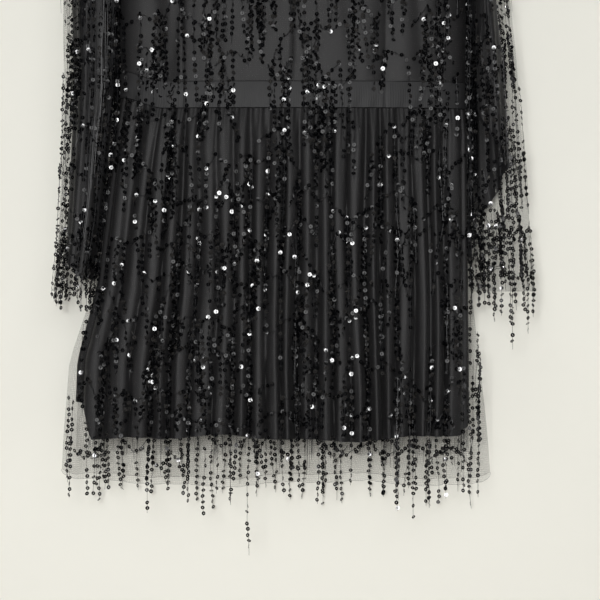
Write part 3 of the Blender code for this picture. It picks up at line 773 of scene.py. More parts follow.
def fold_wave(share, drop, folds):
    """The gathers as a wave of about -1 to 1 that wanders down the skirt and dies at the seams."""
    starts, depths = folds
    loose = smooth(drop / FOLD_LOOSE_BY)
    inner = smooth(share / FOLD_STILL_SHARE) * smooth((1 - share) / FOLD_STILL_SHARE)
    moved = np.clip(share + FOLD_WANDER * loose * waves(WANDER_WAVES, share, drop) * inner, 0, 1)
    fold = np.clip(np.searchsorted(starts, moved, side="right") - 1, 0, FOLDS - 1)
    along = (moved - starts[fold]) / (starts[fold + 1] - starts[fold])
    lean = FOLD_LEAN * np.sin(LEAN_BY_FOLD * fold + LEAN_BY_DROP * drop) * np.sin(2 * math.pi * along)
    wave = np.cos(2 * math.pi * along + lean)
    crease = 1 - 2 * ((1 - wave) / 2) ** TROUGH_SHARPNESS
    wave = ROUND_SHARE * wave + (1 - ROUND_SHARE) * crease
    middles = (starts[1:] + starts[:-1]) / 2
    return np.interp(moved, middles, depths) * wave * FOLD_SHARE


def minor_folds(share, drop):
    """Fine puckers under the band and slight folds that come and go below them."""
    uneven = PUCKER_UNEVEN * np.sin(PUCKER_UNEVEN_TURNS * share)
    pucker = np.sin(2 * math.pi * PUCKER_TURNS * share + uneven)
    slight = 0
    for turns, come_down, come_across, slant, start in MINOR_FOLDS:
        come = 0.5 + 0.5 * np.sin(come_down * drop + come_across * share)
        slight = slight + come * np.sin(2 * math.pi * turns * share + slant * drop + start)
    slight = slight * MINOR_FOLD * smooth(drop / MINOR_LOOSE_BY)
    return PUCKER * np.exp(-drop / PUCKER_FADE) * pucker + slight


def skirt_outline(shares, drop, facing):
    """The plain outline at one level, from -X to +X: x, y and the ways out."""
    turn = np.linspace(0, math.pi, OUTLINE_STEPS + 1)
    across, deep = oval(turn)
    left = read_table(SKIRT_SECTIONS, drop, 1)
    right = read_table(SKIRT_SECTIONS, drop, 2)
    x = np.where(np.cos(turn) > 0, left, right) * across
    y = facing * read_table(SKIRT_SECTIONS, drop, 3) * deep
    length = run_along(np.stack([x, y], axis=1))
    along = length / length[-1]
    ways = unit(np.stack([-facing * np.gradient(y), facing * np.gradient(x)], axis=1))
    out_x, out_y = (np.interp(shares, along, ways[:, axis]) for axis in (0, 1))
    out = np.stack([out_x, out_y, 0 * shares], axis=1)
    out[0] = (-1, 0, 0)
    out[-1] = (1, 0, 0)
    return np.interp(shares, along, x), np.interp(shares, along, y), unit(out)


def skirt_row(shares, drop, facing, folds):
    """One level of the skirt: points and plain ways out; shares run from -X to +X."""
    x, y, out = skirt_outline(shares, drop, facing)
    band_x, _, _ = skirt_outline(shares, 0, facing)
    wider = read_table(SKIRT_SECTIONS, drop, 1) - read_table(SKIRT_SECTIONS, 0, 1)
    inner = smooth(np.minimum(shares, 1 - shares) / PLUMB_AT_SEAM)
    hung = shares + (plumb_shares(x, band_x, shares, wider) - shares) * inner
    window = smooth(shares / SEAM_SHARE) * smooth((1 - shares) / SEAM_SHARE)
    deep = read_table(SKIRT_SECTIONS, drop, 4) * fold_wave(hung, drop, folds) + minor_folds(hung, drop)
    z = SKIRT_Z - BAND_GAP - drop + band_climb(x) * (1 - drop / NET_DROP)
    return np.stack([x, y, z], axis=1) + out * (deep * window)[:, None], out


def skirt_field(facing):
    """The gathered panel on even drops, carried on past both hems."""
    folds = fold_table(facing)
    shares = np.linspace(0, 1, SKIRT_COLUMNS + 1)
    drops = np.arange(0, FIELD_DROP, FIELD_STEP)
    levels = [skirt_row(shares, drop, facing, folds) for drop in drops]
    points = np.array([level[0] for level in levels])
    out = np.array([level[1] for level in levels])
    return Cloth(drops, shares, points, out)


def net_away(share, drop):
    """How far the net hangs outside the lining: more so beside the side seams."""
    away = NET_OUT + (SKIRT_NET_OUT - NET_OUT) * smooth(drop / NET_LOOSE_BY)
    seam = np.minimum(share, 1 - share)
    flare = np.where(share < 0.5, read_table(NET_FLARE, drop, 1), read_table(NET_FLARE, drop, 2))
    return away + flare * (1 - smooth(seam / FLARE_SHARE))


def skirt_panel(field, long, away=None):
    """The panel down to a drop at each column, as it lies or moved out by a function of place."""
    rows = np.linspace(0, 1, SKIRT_ROWS)
    drops = rows[:, None] * long[None, :]
    across = np.tile(field.columns, (SKIRT_ROWS, 1))
    points, out = field.at(drops, across)
    if away:
        points = points + out * away(across, drops)[..., None]
    return Cloth(rows, field.columns, points, out)


def skirt_lining(facing):
    """The gathered lining, whose hem climbs at -X."""
    field = skirt_field(facing)
    shares = field.columns
    reach = field.at(np.full(len(shares), LINING_DROP), shares)[0][:, 0]
    rise = HEM_RISE * smooth((-reach - HEM_RISE_FROM) / HEM_RISE_OVER)
    corner = CORNER_RISE * smooth((shares - CORNER_FROM) / (1 - CORNER_FROM)) ** 2
    long = LINING_DROP + waves(HEM_WAVES, shares, 0) * MM - rise - corner
    return skirt_panel(field, long).off_seam(1, facing)


def skirt_net(facing):
    """The net over the lining, longer and further out."""
    field = skirt_field(facing)
    shares = field.columns
    corner = smooth((np.abs(shares - 0.5) - NET_CORNER_FROM) / (0.5 - NET_CORNER_FROM)) ** 2
    long = NET_DROP + waves(HEM_WAVES, shares + NET_HEM_SHIFT, 0) * MM - NET_CORNER_RISE * corner
    return skirt_panel(field, long, net_away).off_seam(1, facing)


def under_net():
    """The straight strip of gathered net that shows under the lining's hem."""
    field = skirt_field(-1)
    shares = field.columns[UNDER_NET_OFF_SEAM:-UNDER_NET_OFF_SEAM]
    rows = np.linspace(0, 1, UNDER_NET_ROWS)
    top, foot = UNDER_NET
    drops = top + (foot - top) * rows[:, None] * np.ones(len(shares))
    drops = drops + UNDER_NET_WAVE * np.sin(UNDER_NET_WAVE_TURNS * shares) * rows[:, None]
    points, out = field.at(drops, np.tile(shares, (len(rows), 1)))
    return Cloth(rows, shares, points - out * UNDER_NET_IN, out)


def bodice_sink(x, z, facing):
    """How far the bodice's straight creases sink, fading at their ends, and the long ones."""
    sunk = np.zeros(np.shape(x))
    for x0, z0, x1, z1, deep, wide in CREASES[facing]:
        start = np.array((x0, z0)) * MM
        run = np.array((x1, z1)) * MM - start
        along = ((x - start[0]) * run[0] + (z - start[1]) * run[1]) / (run @ run)
        away = np.abs((x - start[0]) * run[1] - (z - start[1]) * run[0]) / math.hypot(*run)
        fade = smooth((along + CREASE_PAST_END) / CREASE_ENDS)
        fade = fade * smooth((1 + CREASE_PAST_END - along) / CREASE_ENDS)
        sunk += dents(away, deep, wide) * fade
    if facing < 0:
        fade = smooth((CREASES_FROM_Z - z) / CREASES_OVER)
        for at, lean, deep, wide in BODICE_CREASES:
            sunk = sunk + dents(x - at * MM - lean * (z - BAND_TOP_Z), deep, wide) * fade
    return sunk


def bodice_cloth(facing, side):
    """A quarter of the bodice; facing -1 is the front, side 1 is +X."""
    last = len(NECK_SHARES) - 1 + SHOULDER_COLUMNS + ARMHOLE_COLUMNS
    columns = np.linspace(0, last, BODICE_COLUMNS + 1)
    ups = 1 - (1 - np.linspace(0, 1, BODICE_ROWS + 1)) ** BODICE_ROW_SPREAD
    foot = BAND_TOP_Z + BAND_GAP
    points = np.zeros((len(ups), len(columns), 3))
    out = np.zeros(points.shape)
    for column, at in enumerate(columns):
        edge_x, edge_z, turn = bodice_edge(at, facing)
        foot_x = (at / last) ** FOOT_SPREAD * float(read_table(BODICE_SECTIONS, 0, 1))
        turning = NECK_TURNING if turn is None else ARMHOLE_TURNING
        z = foot + (edge_z - foot) * ups
        x = foot_x + (edge_x - foot_x) * ups**turning
        if column == len(columns) - 1:
            x = read_table(BODICE_SECTIONS, z - BAND_TOP_Z, 1)
        x = x * side
        sunk = np.minimum(bodice_sink(x, z, facing), body_depth(x, z))
        y = facing * (body_depth(x, z) - sunk)
        points[:, column] = np.stack([x, y, z + band_climb(x) * (1 - ups)], axis=1)
        out[:, column] = body_out(x, z, facing)
        if turn is not None and turn < 1:
            out[-1, column] = armhole_out(turn, facing)
        if column == len(columns) - 1:
            out[:, column] = (side, 0, 0)
    return Cloth(ups, columns, points, out)


def armhole_ring(angle, side):
    """A point of the sleeve's edge at the armhole and its way out; angle 0 is the shoulder."""
    turn = angle / math.pi if angle <= math.pi else 2 - angle / math.pi
    facing = -1 if angle <= math.pi else 1
    x, z = armhole(turn)
    lift = UNDERARM_LIFT * ((1 - math.cos(math.pi * turn)) / 2) ** UNDERARM_CURVE
    point = np.array((side * (x + ARMHOLE_GAP), facing * float(body_depth(x, z)), z + lift))
    return point, armhole_out(turn, facing)


def sleeve_ring(row, angle, side):
    """A point of one ring of the sleeve and its way out: angle 0 is outside, a quarter is front."""
    inner_x, inner_z, outer_x, outer_z, deep, fold = (value * MM for value in row)
    reach = np.array((side * (outer_x - inner_x) / 2, 0, (outer_z - inner_z) / 2))
    middle = np.array((side * (outer_x + inner_x) / 2, 0, (outer_z + inner_z) / 2))
    half = np.linalg.norm(reach)
    dip = fold * (1 - math.cos(SLEEVE_FOLDS * angle)) / 2
    across, along = reach * math.cos(angle), np.array((0, -1, 0)) * math.sin(angle)
    point = middle + across * (1 - dip / half) + along * (deep - dip)
    return point, unit(across / half**2 + along / deep)


def hung_ring(row, number, narrower):
    """A ring of the solids moved against the body, and narrower at its outside for the lining."""
    share = min(number / SLEEVE_CLOSER_RINGS, 1)
    inner_x, inner_z, outer_x, outer_z, deep, fold = row
    return inner_x - SLEEVE_CLOSER * share, inner_z, outer_x - narrower * share, outer_z, deep, fold


def sleeve_cloth(side, hand, narrower=0):
    """The whole sleeve down to the cuff, with rows at even steps between the rings."""
    angles = np.linspace(0, 2 * math.pi, SLEEVE_COLUMNS + 1)
    rings = [[armhole_ring(angle, side) for angle in angles[:-1]]]
    for number, row in enumerate(SLEEVE_RINGS[hand]):
        row = hung_ring(row, number, narrower)
        rings.append([sleeve_ring(row, angle, side) for angle in angles[:-1]])
    for ring in rings:
        ring.append(ring[0])
    rings = np.array(rings)
    coarse = Cloth(range(len(rings)), angles, rings[:, :, 0], rings[:, :, 1])
    rows = np.linspace(0, len(rings) - 1, (len(rings) - 1) * SLEEVE_STEPS + 1)
    across = np.tile(angles, (len(rows), 1))
    high = np.tile(rows[:, None], (1, len(angles)))
    points, out = coarse.at(high, across)
    z = points[..., 2]
    loose = smooth(high / WRINKLE_LOOSE_BY)
    # The wrinkles are slanting waves round and down the sleeve that come and go.
    wrinkle = np.sin(2 * across + 38 * z) * np.sin(61 * z + 3 * across + 1) * 0.6
    wrinkle += np.sin(11 * across + 9 * z + 2) * (0.5 + 0.5 * np.sin(23 * z + across)) * 0.5
    points = points - out * (SLEEVE_WRINKLE * loose * (0.5 + 0.5 * wrinkle))[..., None]
    points[:, -1] = points[:, 0]
    return Cloth(rows, angles, points, out)


def sleeve_net(side, hand):
    return sleeve_cloth(side, hand).moved(NET_OUT)


def sleeve_lining(whole, hems):
    """The part of the sleeve above the slanting hem of its lining."""
    points = np.zeros(whole.points.shape)
    out = np.zeros(whole.points.shape)
    turns, heights = np.array(hems).T
    for column, angle in enumerate(whole.columns):
        hem = float(np.interp(angle / (2 * math.pi), turns, heights)) * MM
        below = whole.points[len(whole.rows) // 2 :, column, 2]
        end = np.interp(-hem, -below, whole.rows[len(whole.rows) // 2 :])
        rows = whole.rows / whole.rows[-1] * end
        points[:, column], out[:, column] = whole.at(rows, np.full(len(rows), angle))
    return Cloth(whole.rows, whole.columns, points, out)


def band_cloth(facing):
    """The inset band, with slight drag lines where the gathers pull on it."""
    turn = np.linspace(0, math.pi, BAND_COLUMNS + 1)
    half_width, half_depth = (float(read_table(BODICE_SECTIONS, 0, column)) for column in (1, 2))
    across, deep = oval(turn)
    x = half_width * across
    y = facing * half_depth * deep
    out = unit(np.stack([x / half_width**2, y / half_depth**2, 0 * x], axis=1))
    downs = np.linspace(0, 1, BAND_ROWS + 1)
    points = []
    for down in downs:
        slow = np.sin(x * BAND_DRAG_SLOW_TURNS + 1)
        drag = np.sin(x * BAND_DRAG_TURNS + BAND_DRAG_SLANT * down) * slow * BAND_DRAG * down
        crown = BAND_CROWN * math.sin(math.pi * down)
        for seam in BAND_SEAMS:
            drag = drag - BAND_SEAM_DEEP * np.exp(-(((x - seam * MM) / BAND_SEAM_WIDE) ** 2))
        row = np.stack([x, y, BAND_TOP_Z - BAND_HEIGHT * down + band_climb(x)], axis=1)
        points.append(row + out * (BAND_OUT + crown + drag)[:, None])
    return Cloth(downs, turn, np.array(points), np.array([out] * len(downs))).off_seam(1, facing)


# Meshes


def add_piece(name, mesh, *finishes):
    piece = bpy.data.objects.new(name, mesh)
    bpy.context.scene.collection.objects.link(piece)
    for finish in finishes:
        mesh.materials.append(finish)
    return piece


def dress_piece(piece, slot, *nodes):
    """A piece that moves with the dress and stands for those nodes, whose solids it hides. The slot is not
    used.
    """
    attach(piece, "root")
    if nodes:
        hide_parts(*nodes)
    return piece


def new_mesh(name, points, faces):
    mesh = bpy.data.meshes.new(name)
    mesh.from_pydata(points, [], faces)
    return mesh


def shell_corners(rows, columns, closed):
    """Every face of a thin shell, as row, column and side of its four corners."""
    row, column = np.meshgrid(np.arange(rows - 1), np.arange(columns - 1), indexing="ij")
    row, column = row.ravel(), column.ravel()
    along = np.arange(columns - 1)
    down = np.arange(rows - 1)
    parts = [
        (row, column, ((0, 0, 1), (0, 1, 1), (1, 1, 1), (1, 0, 1))),
        (row, column, ((1, 0, 0), (1, 1, 0), (0, 1, 0), (0, 0, 0))),
        (0 * along, along, ((0, 1, 1), (0, 0, 1), (0, 0, 0), (0, 1, 0))),
        (0 * along + rows - 1, along, ((0, 0, 1), (0, 1, 1), (0, 1, 0), (0, 0, 0))),
    ]
    if not closed:
        parts.append((down, 0 * down, ((0, 0, 1), (1, 0, 1), (1, 0, 0), (0, 0, 0))))
        parts.append((down, 0 * down + columns - 1, ((1, 0, 1), (0, 0, 1), (0, 0, 0), (1, 0, 0))))
    found = []
    for row, column, corners in parts:
        places = [(row + below, column + beyond, 0 * row + side) for below, beyond, side in corners]
        found.append(np.stack([np.stack(place, axis=1) for place in places], axis=1))
    return np.concatenate(found)


def grid_lengths(points):
    """Distances run along each row and down each column of a grid."""
    across = np.linalg.norm(np.diff(points, axis=1), axis=-1)
    down = np.linalg.norm(np.diff(points, axis=0), axis=-1)
    across = np.concatenate([np.zeros((len(points), 1)), np.cumsum(across, axis=1)], axis=1)
    down = np.concatenate([np.zeros((1, points.shape[1])), np.cumsum(down, axis=0)])
    return across, down


def shell_mesh(name, cloth, thickness, closed=False):
    """A thin closed shell about a cloth, with a UV map in metres along it."""
    rows, columns = cloth.points.shape[:2]
    width = columns - 1 if closed else columns
    sides = [cloth.points + cloth.out * thickness * part for part in (-0.5, 0.5)]
    vertices = np.concatenate([side[:, :width].reshape(-1, 3) for side in sides])
    corners = shell_corners(rows, columns, closed)
    # One face of the outer side shows whether they all have to be turned over.
    outer = corners[len(corners) // 4]
    first = [sides[1][tuple(corner[:2])] for corner in outer]
    face_way = np.cross(first[1] - first[0], first[2] - first[1])
    if face_way @ cloth.out[tuple(outer[0][:2])] < 0:
        corners = corners[:, ::-1]
    index = corners[..., 2] * rows * width + corners[..., 0] * width + corners[..., 1] % width
    mesh = new_mesh(name, vertices.tolist(), index.tolist())
    across, down = grid_lengths(cloth.points)
    places = np.stack([across, down], axis=-1)[corners[..., 0], corners[..., 1]]
    mesh.uv_layers.new(name=CLOTH_UV).data.foreach_set("uv", places.ravel())
    mesh.shade_smooth()
    mesh.set_sharp_from_angle(angle=math.radians(SHARP_ANGLE))
    return mesh


def cloth_piece(name, cloth, thickness, finish, slot, node, closed=False):
    """A sheet of cloth that stands for one CAD node, if any."""
    piece = add_piece(name, shell_mesh(name, cloth, thickness, closed), finish)
    dress_piece(piece, slot, *([node] if node else []))
    # Tulle throws next to no shadow, and layers of it would stop the light that passes them.
    piece.visible_shadow = slot != "net"
    return piece


def layer_pieces(layer, kind, thickness, finish, bodice, skirt, sleeve):
    """One layer of the whole dress: functions make its bodice quarters, skirt panels and sleeves."""
    for facing, face in FACES:
        for side, hand in HANDS:
            cloth = bodice(facing, side).off_seam(0, side).off_seam(1, facing)
            name, node = f"{kind}_bodice_{face}_{hand}", f"bodice_{layer}_{face}_{hand}"
            cloth_piece(name, cloth, thickness, finish, layer, node)
        name, node = f"{kind}_skirt_{face}", f"skirt_{layer}_{face}"
        cloth_piece(name, skirt(facing), thickness, finish, layer, node)
    for side, hand in HANDS:
        name, node = f"{kind}_sleeve_{hand}", f"sleeve_{layer}_{hand}"
        cloth = sleeve(side, hand)
        cloth_piece(name, cloth, thickness, finish, layer, node, closed=True)


def spokes(aside, beyond, turn):
    """Ways out from each point of a line, at turns between two ways square to it."""
    return aside[:, None] * np.cos(turn)[..., None] + beyond[:, None] * np.sin(turn)[..., None]


def even_turns(sides):
    return np.arange(sides) * 2 * math.pi / sides


def sequin_faces(centres, ways, sizes, spins):
    """Points and faces of many cupped rings of film, each from its rim to the edge of its hole."""
    ways = unit(ways)
    aside = unit(np.cross(ways, NOT_FACED))
    spoke = spokes(aside, np.cross(ways, aside), even_turns(SEQUIN_SIDES) + spins[:, None])
    size = bpy.context.scene.dress_sizes
    rings = []
    for radius, high in ((size.sequin / 2, size.cup), (size.hole / 2, 0)):
        rise = ways[:, None] * high
        rings.append(centres[:, None] + (spoke * radius + rise) * sizes[:, None, None])
    points = np.stack(rings, axis=1).reshape(-1, 3)
    one = np.array(side_faces(2, SEQUIN_SIDES))
    starts = np.arange(len(centres)) * 2 * SEQUIN_SIDES
    return points, (one[None] + starts[:, None, None]).reshape(-1, 4)


def side_faces(rings, sides):
    """The four corners of each face between the rings of a tube."""
    faces = []
    for step in range(rings - 1):
        for side in range(sides):
            here, after = step * sides + side, step * sides + (side + 1) % sides
            faces.append([here, after, after + sides, here + sides])
    return faces


def thread_faces(path, way, width):
    """Points and faces of one thin closed tube along a path."""
    along = unit(np.gradient(path, axis=0))
    aside = unit(np.cross(along, way))
    spoke = spokes(aside, np.cross(aside, along), even_turns(THREAD_SIDES))
    points = (path[:, None] + spoke * width / 2).reshape(-1, 3)
    ends = [list(range(THREAD_SIDES))[::-1], list(range(len(points) - THREAD_SIDES, len(points)))]
    return points, side_faces(len(path), THREAD_SIDES) + ends


def rod_mesh(name, points, rings, sides):
    """A smooth closed rod from the points of its rings, with flat ends."""
    ends = [list(range(sides)), list(range((rings - 1) * sides, rings * sides))[::-1]]
    faces = [[here, below, beyond, after] for here, after, beyond, below in side_faces(rings, sides)]
    mesh = new_mesh(name, points, ends + faces)
    mesh.shade_smooth()
    return mesh


class Trim:
    """Sequins and threads as they are laid, to be joined in one mesh at the end."""

    def __init__(self, seed):
        self.random = random.Random(seed)
        self.centres = []
        self.ways = []
        self.sizes = []
        self.paths = []

    def sequin(self, centre, way):
        self.centres.append(centre)
        self.ways.append(way)
        self.sizes.append(self.random.uniform(*SEQUIN_SIZES))

    def thread(self, path, way, width):
        if len(path) > 1:
            self.paths.append((np.asarray(path), np.asarray(way), width))

    def beaded(self, path, ways, facing, width=None, **settings):
        """A thread with its sequins."""
        self.thread(path, ways, width or bpy.context.scene.dress_sizes.thread)
        string_sequins(self, path, ways, facing, **settings)

    def mesh(self, name):
        points, faces, count = [], [], 0
        for path, way, width in self.paths:
            tube, sides = thread_faces(path, way, width)
            points.append(tube)
            faces += [[corner + count for corner in face] for face in sides]
            count += len(tube)
        spins = [self.random.uniform(0, 1) for _ in self.centres]
        laid = (np.array(part) for part in (self.centres, self.ways, self.sizes, spins))
        rings, ring_faces = sequin_faces(*laid)
        points.append(rings)
        finishes = [1] * len(faces) + [0] * len(ring_faces)
        faces += (ring_faces + count).tolist()
        mesh = new_mesh(name, np.concatenate(points).tolist(), faces)
        mesh.polygons.foreach_set("material_index", finishes)
        return mesh

    def piece(self, name, *nodes):
        """The piece of all that was laid, in sequin film and thread."""
        finishes = [bpy.data.materials[finish] for finish in (SEQUIN_FINISH, THREAD_FINISH)]
        return dress_piece(add_piece(name, self.mesh(name), *finishes), "sequins", *nodes)


# Strands over the body


class Relief:
    """How far the outer cloth of the body stands out over a grid of x and z, seen from one face."""

    def __init__(self, facing):
        self.facing = facing
        self.x = np.arange(-RELIEF_X, RELIEF_X, RELIEF_STEP)
        self.z = np.arange(NECK_POINT_Z, RELIEF_FOOT_Z, -RELIEF_LEVEL)
        field = skirt_field(facing)
        self.cloth = np.array([self.level(field, z) for z in self.z])
        shifts = range(-RELIEF_HUNG_OVER, RELIEF_HUNG_OVER + 1)
        self.hung = np.max([np.roll(self.cloth, shift, axis=1) for shift in shifts], axis=0)
        for axis, reach in enumerate(RELIEF_SOFT):
            kernel = np.hanning(2 * reach + 3)[1:-1]
            kernel /= kernel.sum()
            pads = [(reach, reach) if side == axis else (0, 0) for side in (0, 1)]
            padded = np.pad(self.hung, pads, mode="edge")
            count = self.hung.shape[axis]
            windows = [range(first, first + count) for first in range(len(kernel))]
            shifted = [np.take(padded, window, axis=axis) for window in windows]
            self.hung = sum(part * weight for part, weight in zip(shifted, kernel))

    def level(self, field, z):
        """The relief along one level."""
        if z > BAND_TOP_Z:
            sunk = bodice_sink(self.x, z, self.facing)
            return np.maximum(body_depth(self.x, z) - sunk, 0) + NET_OUT
        if z > SKIRT_Z:
            return body_depth(self.x, BAND_TOP_Z) + BAND_OUT + RELIEF_BAND
        drop = np.full(len(field.columns), min(SKIRT_Z - z, NET_DROP + RELIEF_PAST_HEM))
        points, out = field.at(drop, field.columns)
        points = points + out * net_away(field.columns, drop)[:, None]
        order = np.argsort(points[:, 0])
        return np.interp(self.x, points[order, 0], points[order, 1] * self.facing, left=0, right=0)

    def read(self, grid, x, z):
        """Height of a grid at places, between its points."""
        across = np.clip((x + RELIEF_X) / RELIEF_STEP, 0, len(self.x) - 1.001)
        down = np.clip((NECK_POINT_Z - z) / RELIEF_LEVEL, 0, len(self.z) - 1.001)
        column, row = across.astype(int), down.astype(int)
        along, below = across - column, down - row
        top = grid[row, column] * (1 - along) + grid[row, column + 1] * along
        foot = grid[row + 1, column] * (1 - along) + grid[row + 1, column + 1] * along
        return top * (1 - below) + foot * below

    def slope(self, grid, x, z, step_x, step_z):
        """How steeply a grid rises from one step before each place to one step past it."""
        rise = self.read(grid, x + step_x, z + step_z) - self.read(grid, x - step_x, z - step_z)
        return rise / (2 * (step_x + step_z))

    def settled(self, x, z):
        """Places moved down the sides of the folds, where hanging strands come to rest."""
        reach = np.array([body_reach(height, -1) for height in np.atleast_1d(z)])
        inner = smooth((reach - np.abs(x)) / SLIP_OFF_SIDE)
        for _ in range(SLIP_TIMES):
            slope = self.slope(self.cloth, x, z, SLOPE_REACH / 2, 0)
            x = x - SLIP * np.clip(slope, -1, 1) * inner
        return x

    def place(self, x, z, lift, hung=True):
        """Points that lie on the cloth, or hang over its folds, and the ways that they face."""
        grid = self.hung if hung else self.cloth
        slope_x = np.clip(self.slope(grid, x, z, SLOPE_REACH, 0), -STEEPEST_ACROSS, STEEPEST_ACROSS)
        slope_z = np.clip(self.slope(grid, x, z, 0, SLOPE_REACH), -STEEPEST_DOWN, STEEPEST_DOWN)
        way = unit(np.stack([-slope_x, np.full(np.shape(x), float(self.facing)), -slope_z], axis=-1))
        return np.stack([x, self.facing * (self.read(grid, x, z) + lift), z], axis=-1), way


def beside(way):
    """The level way to one side of a way."""
    return unit(np.cross(way, UPWARDS) + NEARLY_NONE)


def turned(way, uneven, plumb=None, tilt=SEQUIN_TILT, flat=FLAT_SHARE):
    """The way one sequin faces: about that of the cloth, some of them turned on their thread."""
    chance = uneven.random()
    way = unit(way)
    aside = beside(way)
    if chance < flat:
        way = unit(way * (1, 1, 0)) if plumb is None else unit(way * PLUMB_LESS + np.array((0, plumb, 0)))
        return way + aside * uneven.gauss(0, FLAT_TILT) + UPWARDS * uneven.gauss(FLAT_UP, FLAT_TILT)
    if chance > 1 - EDGE_ON_SHARE:
        angle = uneven.uniform(*EDGE_ON_TURN) * uneven.choice((-1, 1))
        way = way * math.cos(angle) + aside * math.sin(angle)
    return way + aside * uneven.gauss(0, tilt) + UPWARDS * uneven.gauss(0, tilt * UP_TILT)


def string_sequins(trim, path, ways, facing, gap_share=GAP_SHARE, pitch=None, tilt=SEQUIN_TILT):
    """Sequins along a strand, with a stretch left bare here and there."""
    pitch = pitch or bpy.context.scene.dress_sizes.pitch
    uneven = trim.random
    run = run_along(path)
    at = uneven.uniform(*FIRST_SEQUIN) * pitch
    side = 1
    while at <= run[-1]:
        if uneven.random() > gap_share:
            centre = np.array([np.interp(at, run, path[:, axis]) for axis in range(3)])
            way = unit([np.interp(at, run, ways[:, axis]) for axis in range(3)])
            off = side * ZIGZAG * uneven.uniform(*ZIGZAG_UNEVEN)
            centre = centre + beside(way) * off - way * SEQUIN_BEHIND_THREAD
            low = smooth((FLAT_ABOVE_Z - centre[2]) / FLAT_OVER)
            trim.sequin(centre, turned(way, uneven, facing, tilt, FLAT_SHARE * (1 - FLAT_LESS * low)))
        side = -side
        at += pitch * uneven.uniform(*PITCH_UNEVEN)


def points_along(length):
    """How many points a hanging strand of a length has."""
    return max(4, int(length / STRAND_SEGMENT) + 2)


def hanging_strand(trim, relief, x, z, length, lift=STRAND_LIFT, lean=None, **settings):
    """One strand of sequins hanging from a point of the body over the folds below it."""
    uneven = trim.random
    down = np.linspace(0, length, points_along(length))
    lean = uneven.gauss(0, STRAND_LEAN) if lean is None else lean
    sway = uneven.uniform(*STRAND_SWAY) * MM
    start = uneven.uniform(0, 6)
    turns = uneven.uniform(*STRAND_SWAY_TURNS)
    xs = x + lean * down + sway * np.sin(down * turns + start) - sway * math.sin(start)
    if z < SKIRT_Z:
        xs = relief.settled(xs, z - down)
    path, ways = relief.place(xs, z - down, lift + uneven.uniform(0, STRAND_LIFT_MORE))
    trim.beaded(path, ways, relief.facing, **settings)


def embroidered_stem(trim, relief, x, z, length):
    """A line of sequins sewn down the cloth, close together and mostly on edge."""
    uneven = trim.random
    down = np.arange(0, length, STEM_STEP)
    lean = uneven.gauss(0, STEM_LEAN)
    bend = uneven.uniform(*STEM_BEND) * MM
    start = uneven.uniform(0, 6)
    along = x + lean * down + bend * (np.sin(down * STEM_BEND_TURNS + start) - math.sin(start))
    if z < SKIRT_Z:
        along = relief.settled(along, z - down)
    wave = np.sin(np.arange(len(down)) * STEM_LOOP_TURNS) * STEM_LOOP
    path, ways = relief.place(along + wave, z - down, STEM_LIFT, hung=False)
    trim.thread(path, ways, bpy.context.scene.dress_sizes.stitch)
    side = 1
    for at in np.arange(FIRST_STEM_SEQUIN, length, CLOSE_PITCH):
        if uneven.random() < STEM_SEQUIN_SHARE:
            middle = float(np.interp(at, down, along)) + side * uneven.uniform(*STEM_SEQUIN_ASIDE) * MM
            spot, way = relief.place(np.array([middle]), np.array([z - at]), STEM_SEQUIN_LIFT, hung=False)
            trim.sequin(spot[0], turned(way[0], uneven, relief.facing, EDGE_TILT, STEM_FLAT_SHARE))
        side = -side


def motif(trim, place, facing, shape, mirror, scale):
    """An embroidered line: chain stitch with small loops, and a sequin every few stitches."""
    uneven = trim.random
    corners = np.array(shape, float) * MM * scale
    corners[:, 0] *= mirror
    corners += np.array([[uneven.gauss(0, MOTIF_CORNER_UNEVEN) * MM for _ in range(2)] for _ in corners])
    run = run_along(corners)

    def at_run(run_to):
        return [np.interp(run_to, run, corners[:, axis]) for axis in (0, 1)]

    steps = np.arange(0, run[-1], STEM_STEP)
    across, up = at_run(steps)
    loop = np.sin(np.arange(len(steps)) * math.pi / 2) * STITCH_LOOP
    path, ways = place(across + loop * LOOP_LEAN, up + loop)
    trim.thread(path, ways, bpy.context.scene.dress_sizes.stitch)
    for at in np.arange(uneven.uniform(*FIRST_MOTIF_SEQUIN) * MM, run[-1], MOTIF_SEQUIN_PITCH):
        if uneven.random() < MOTIF_SEQUIN_SHARE:
            off = [np.array([part + uneven.gauss(0, MOTIF_SEQUIN_UNEVEN) * MM]) for part in at_run(at)]
            spot, way = place(*off)
            trim.sequin(spot[0] + way[0] * STEM_LIFT, turned(way[0], uneven, facing, MOTIF_TILT))
    return corners


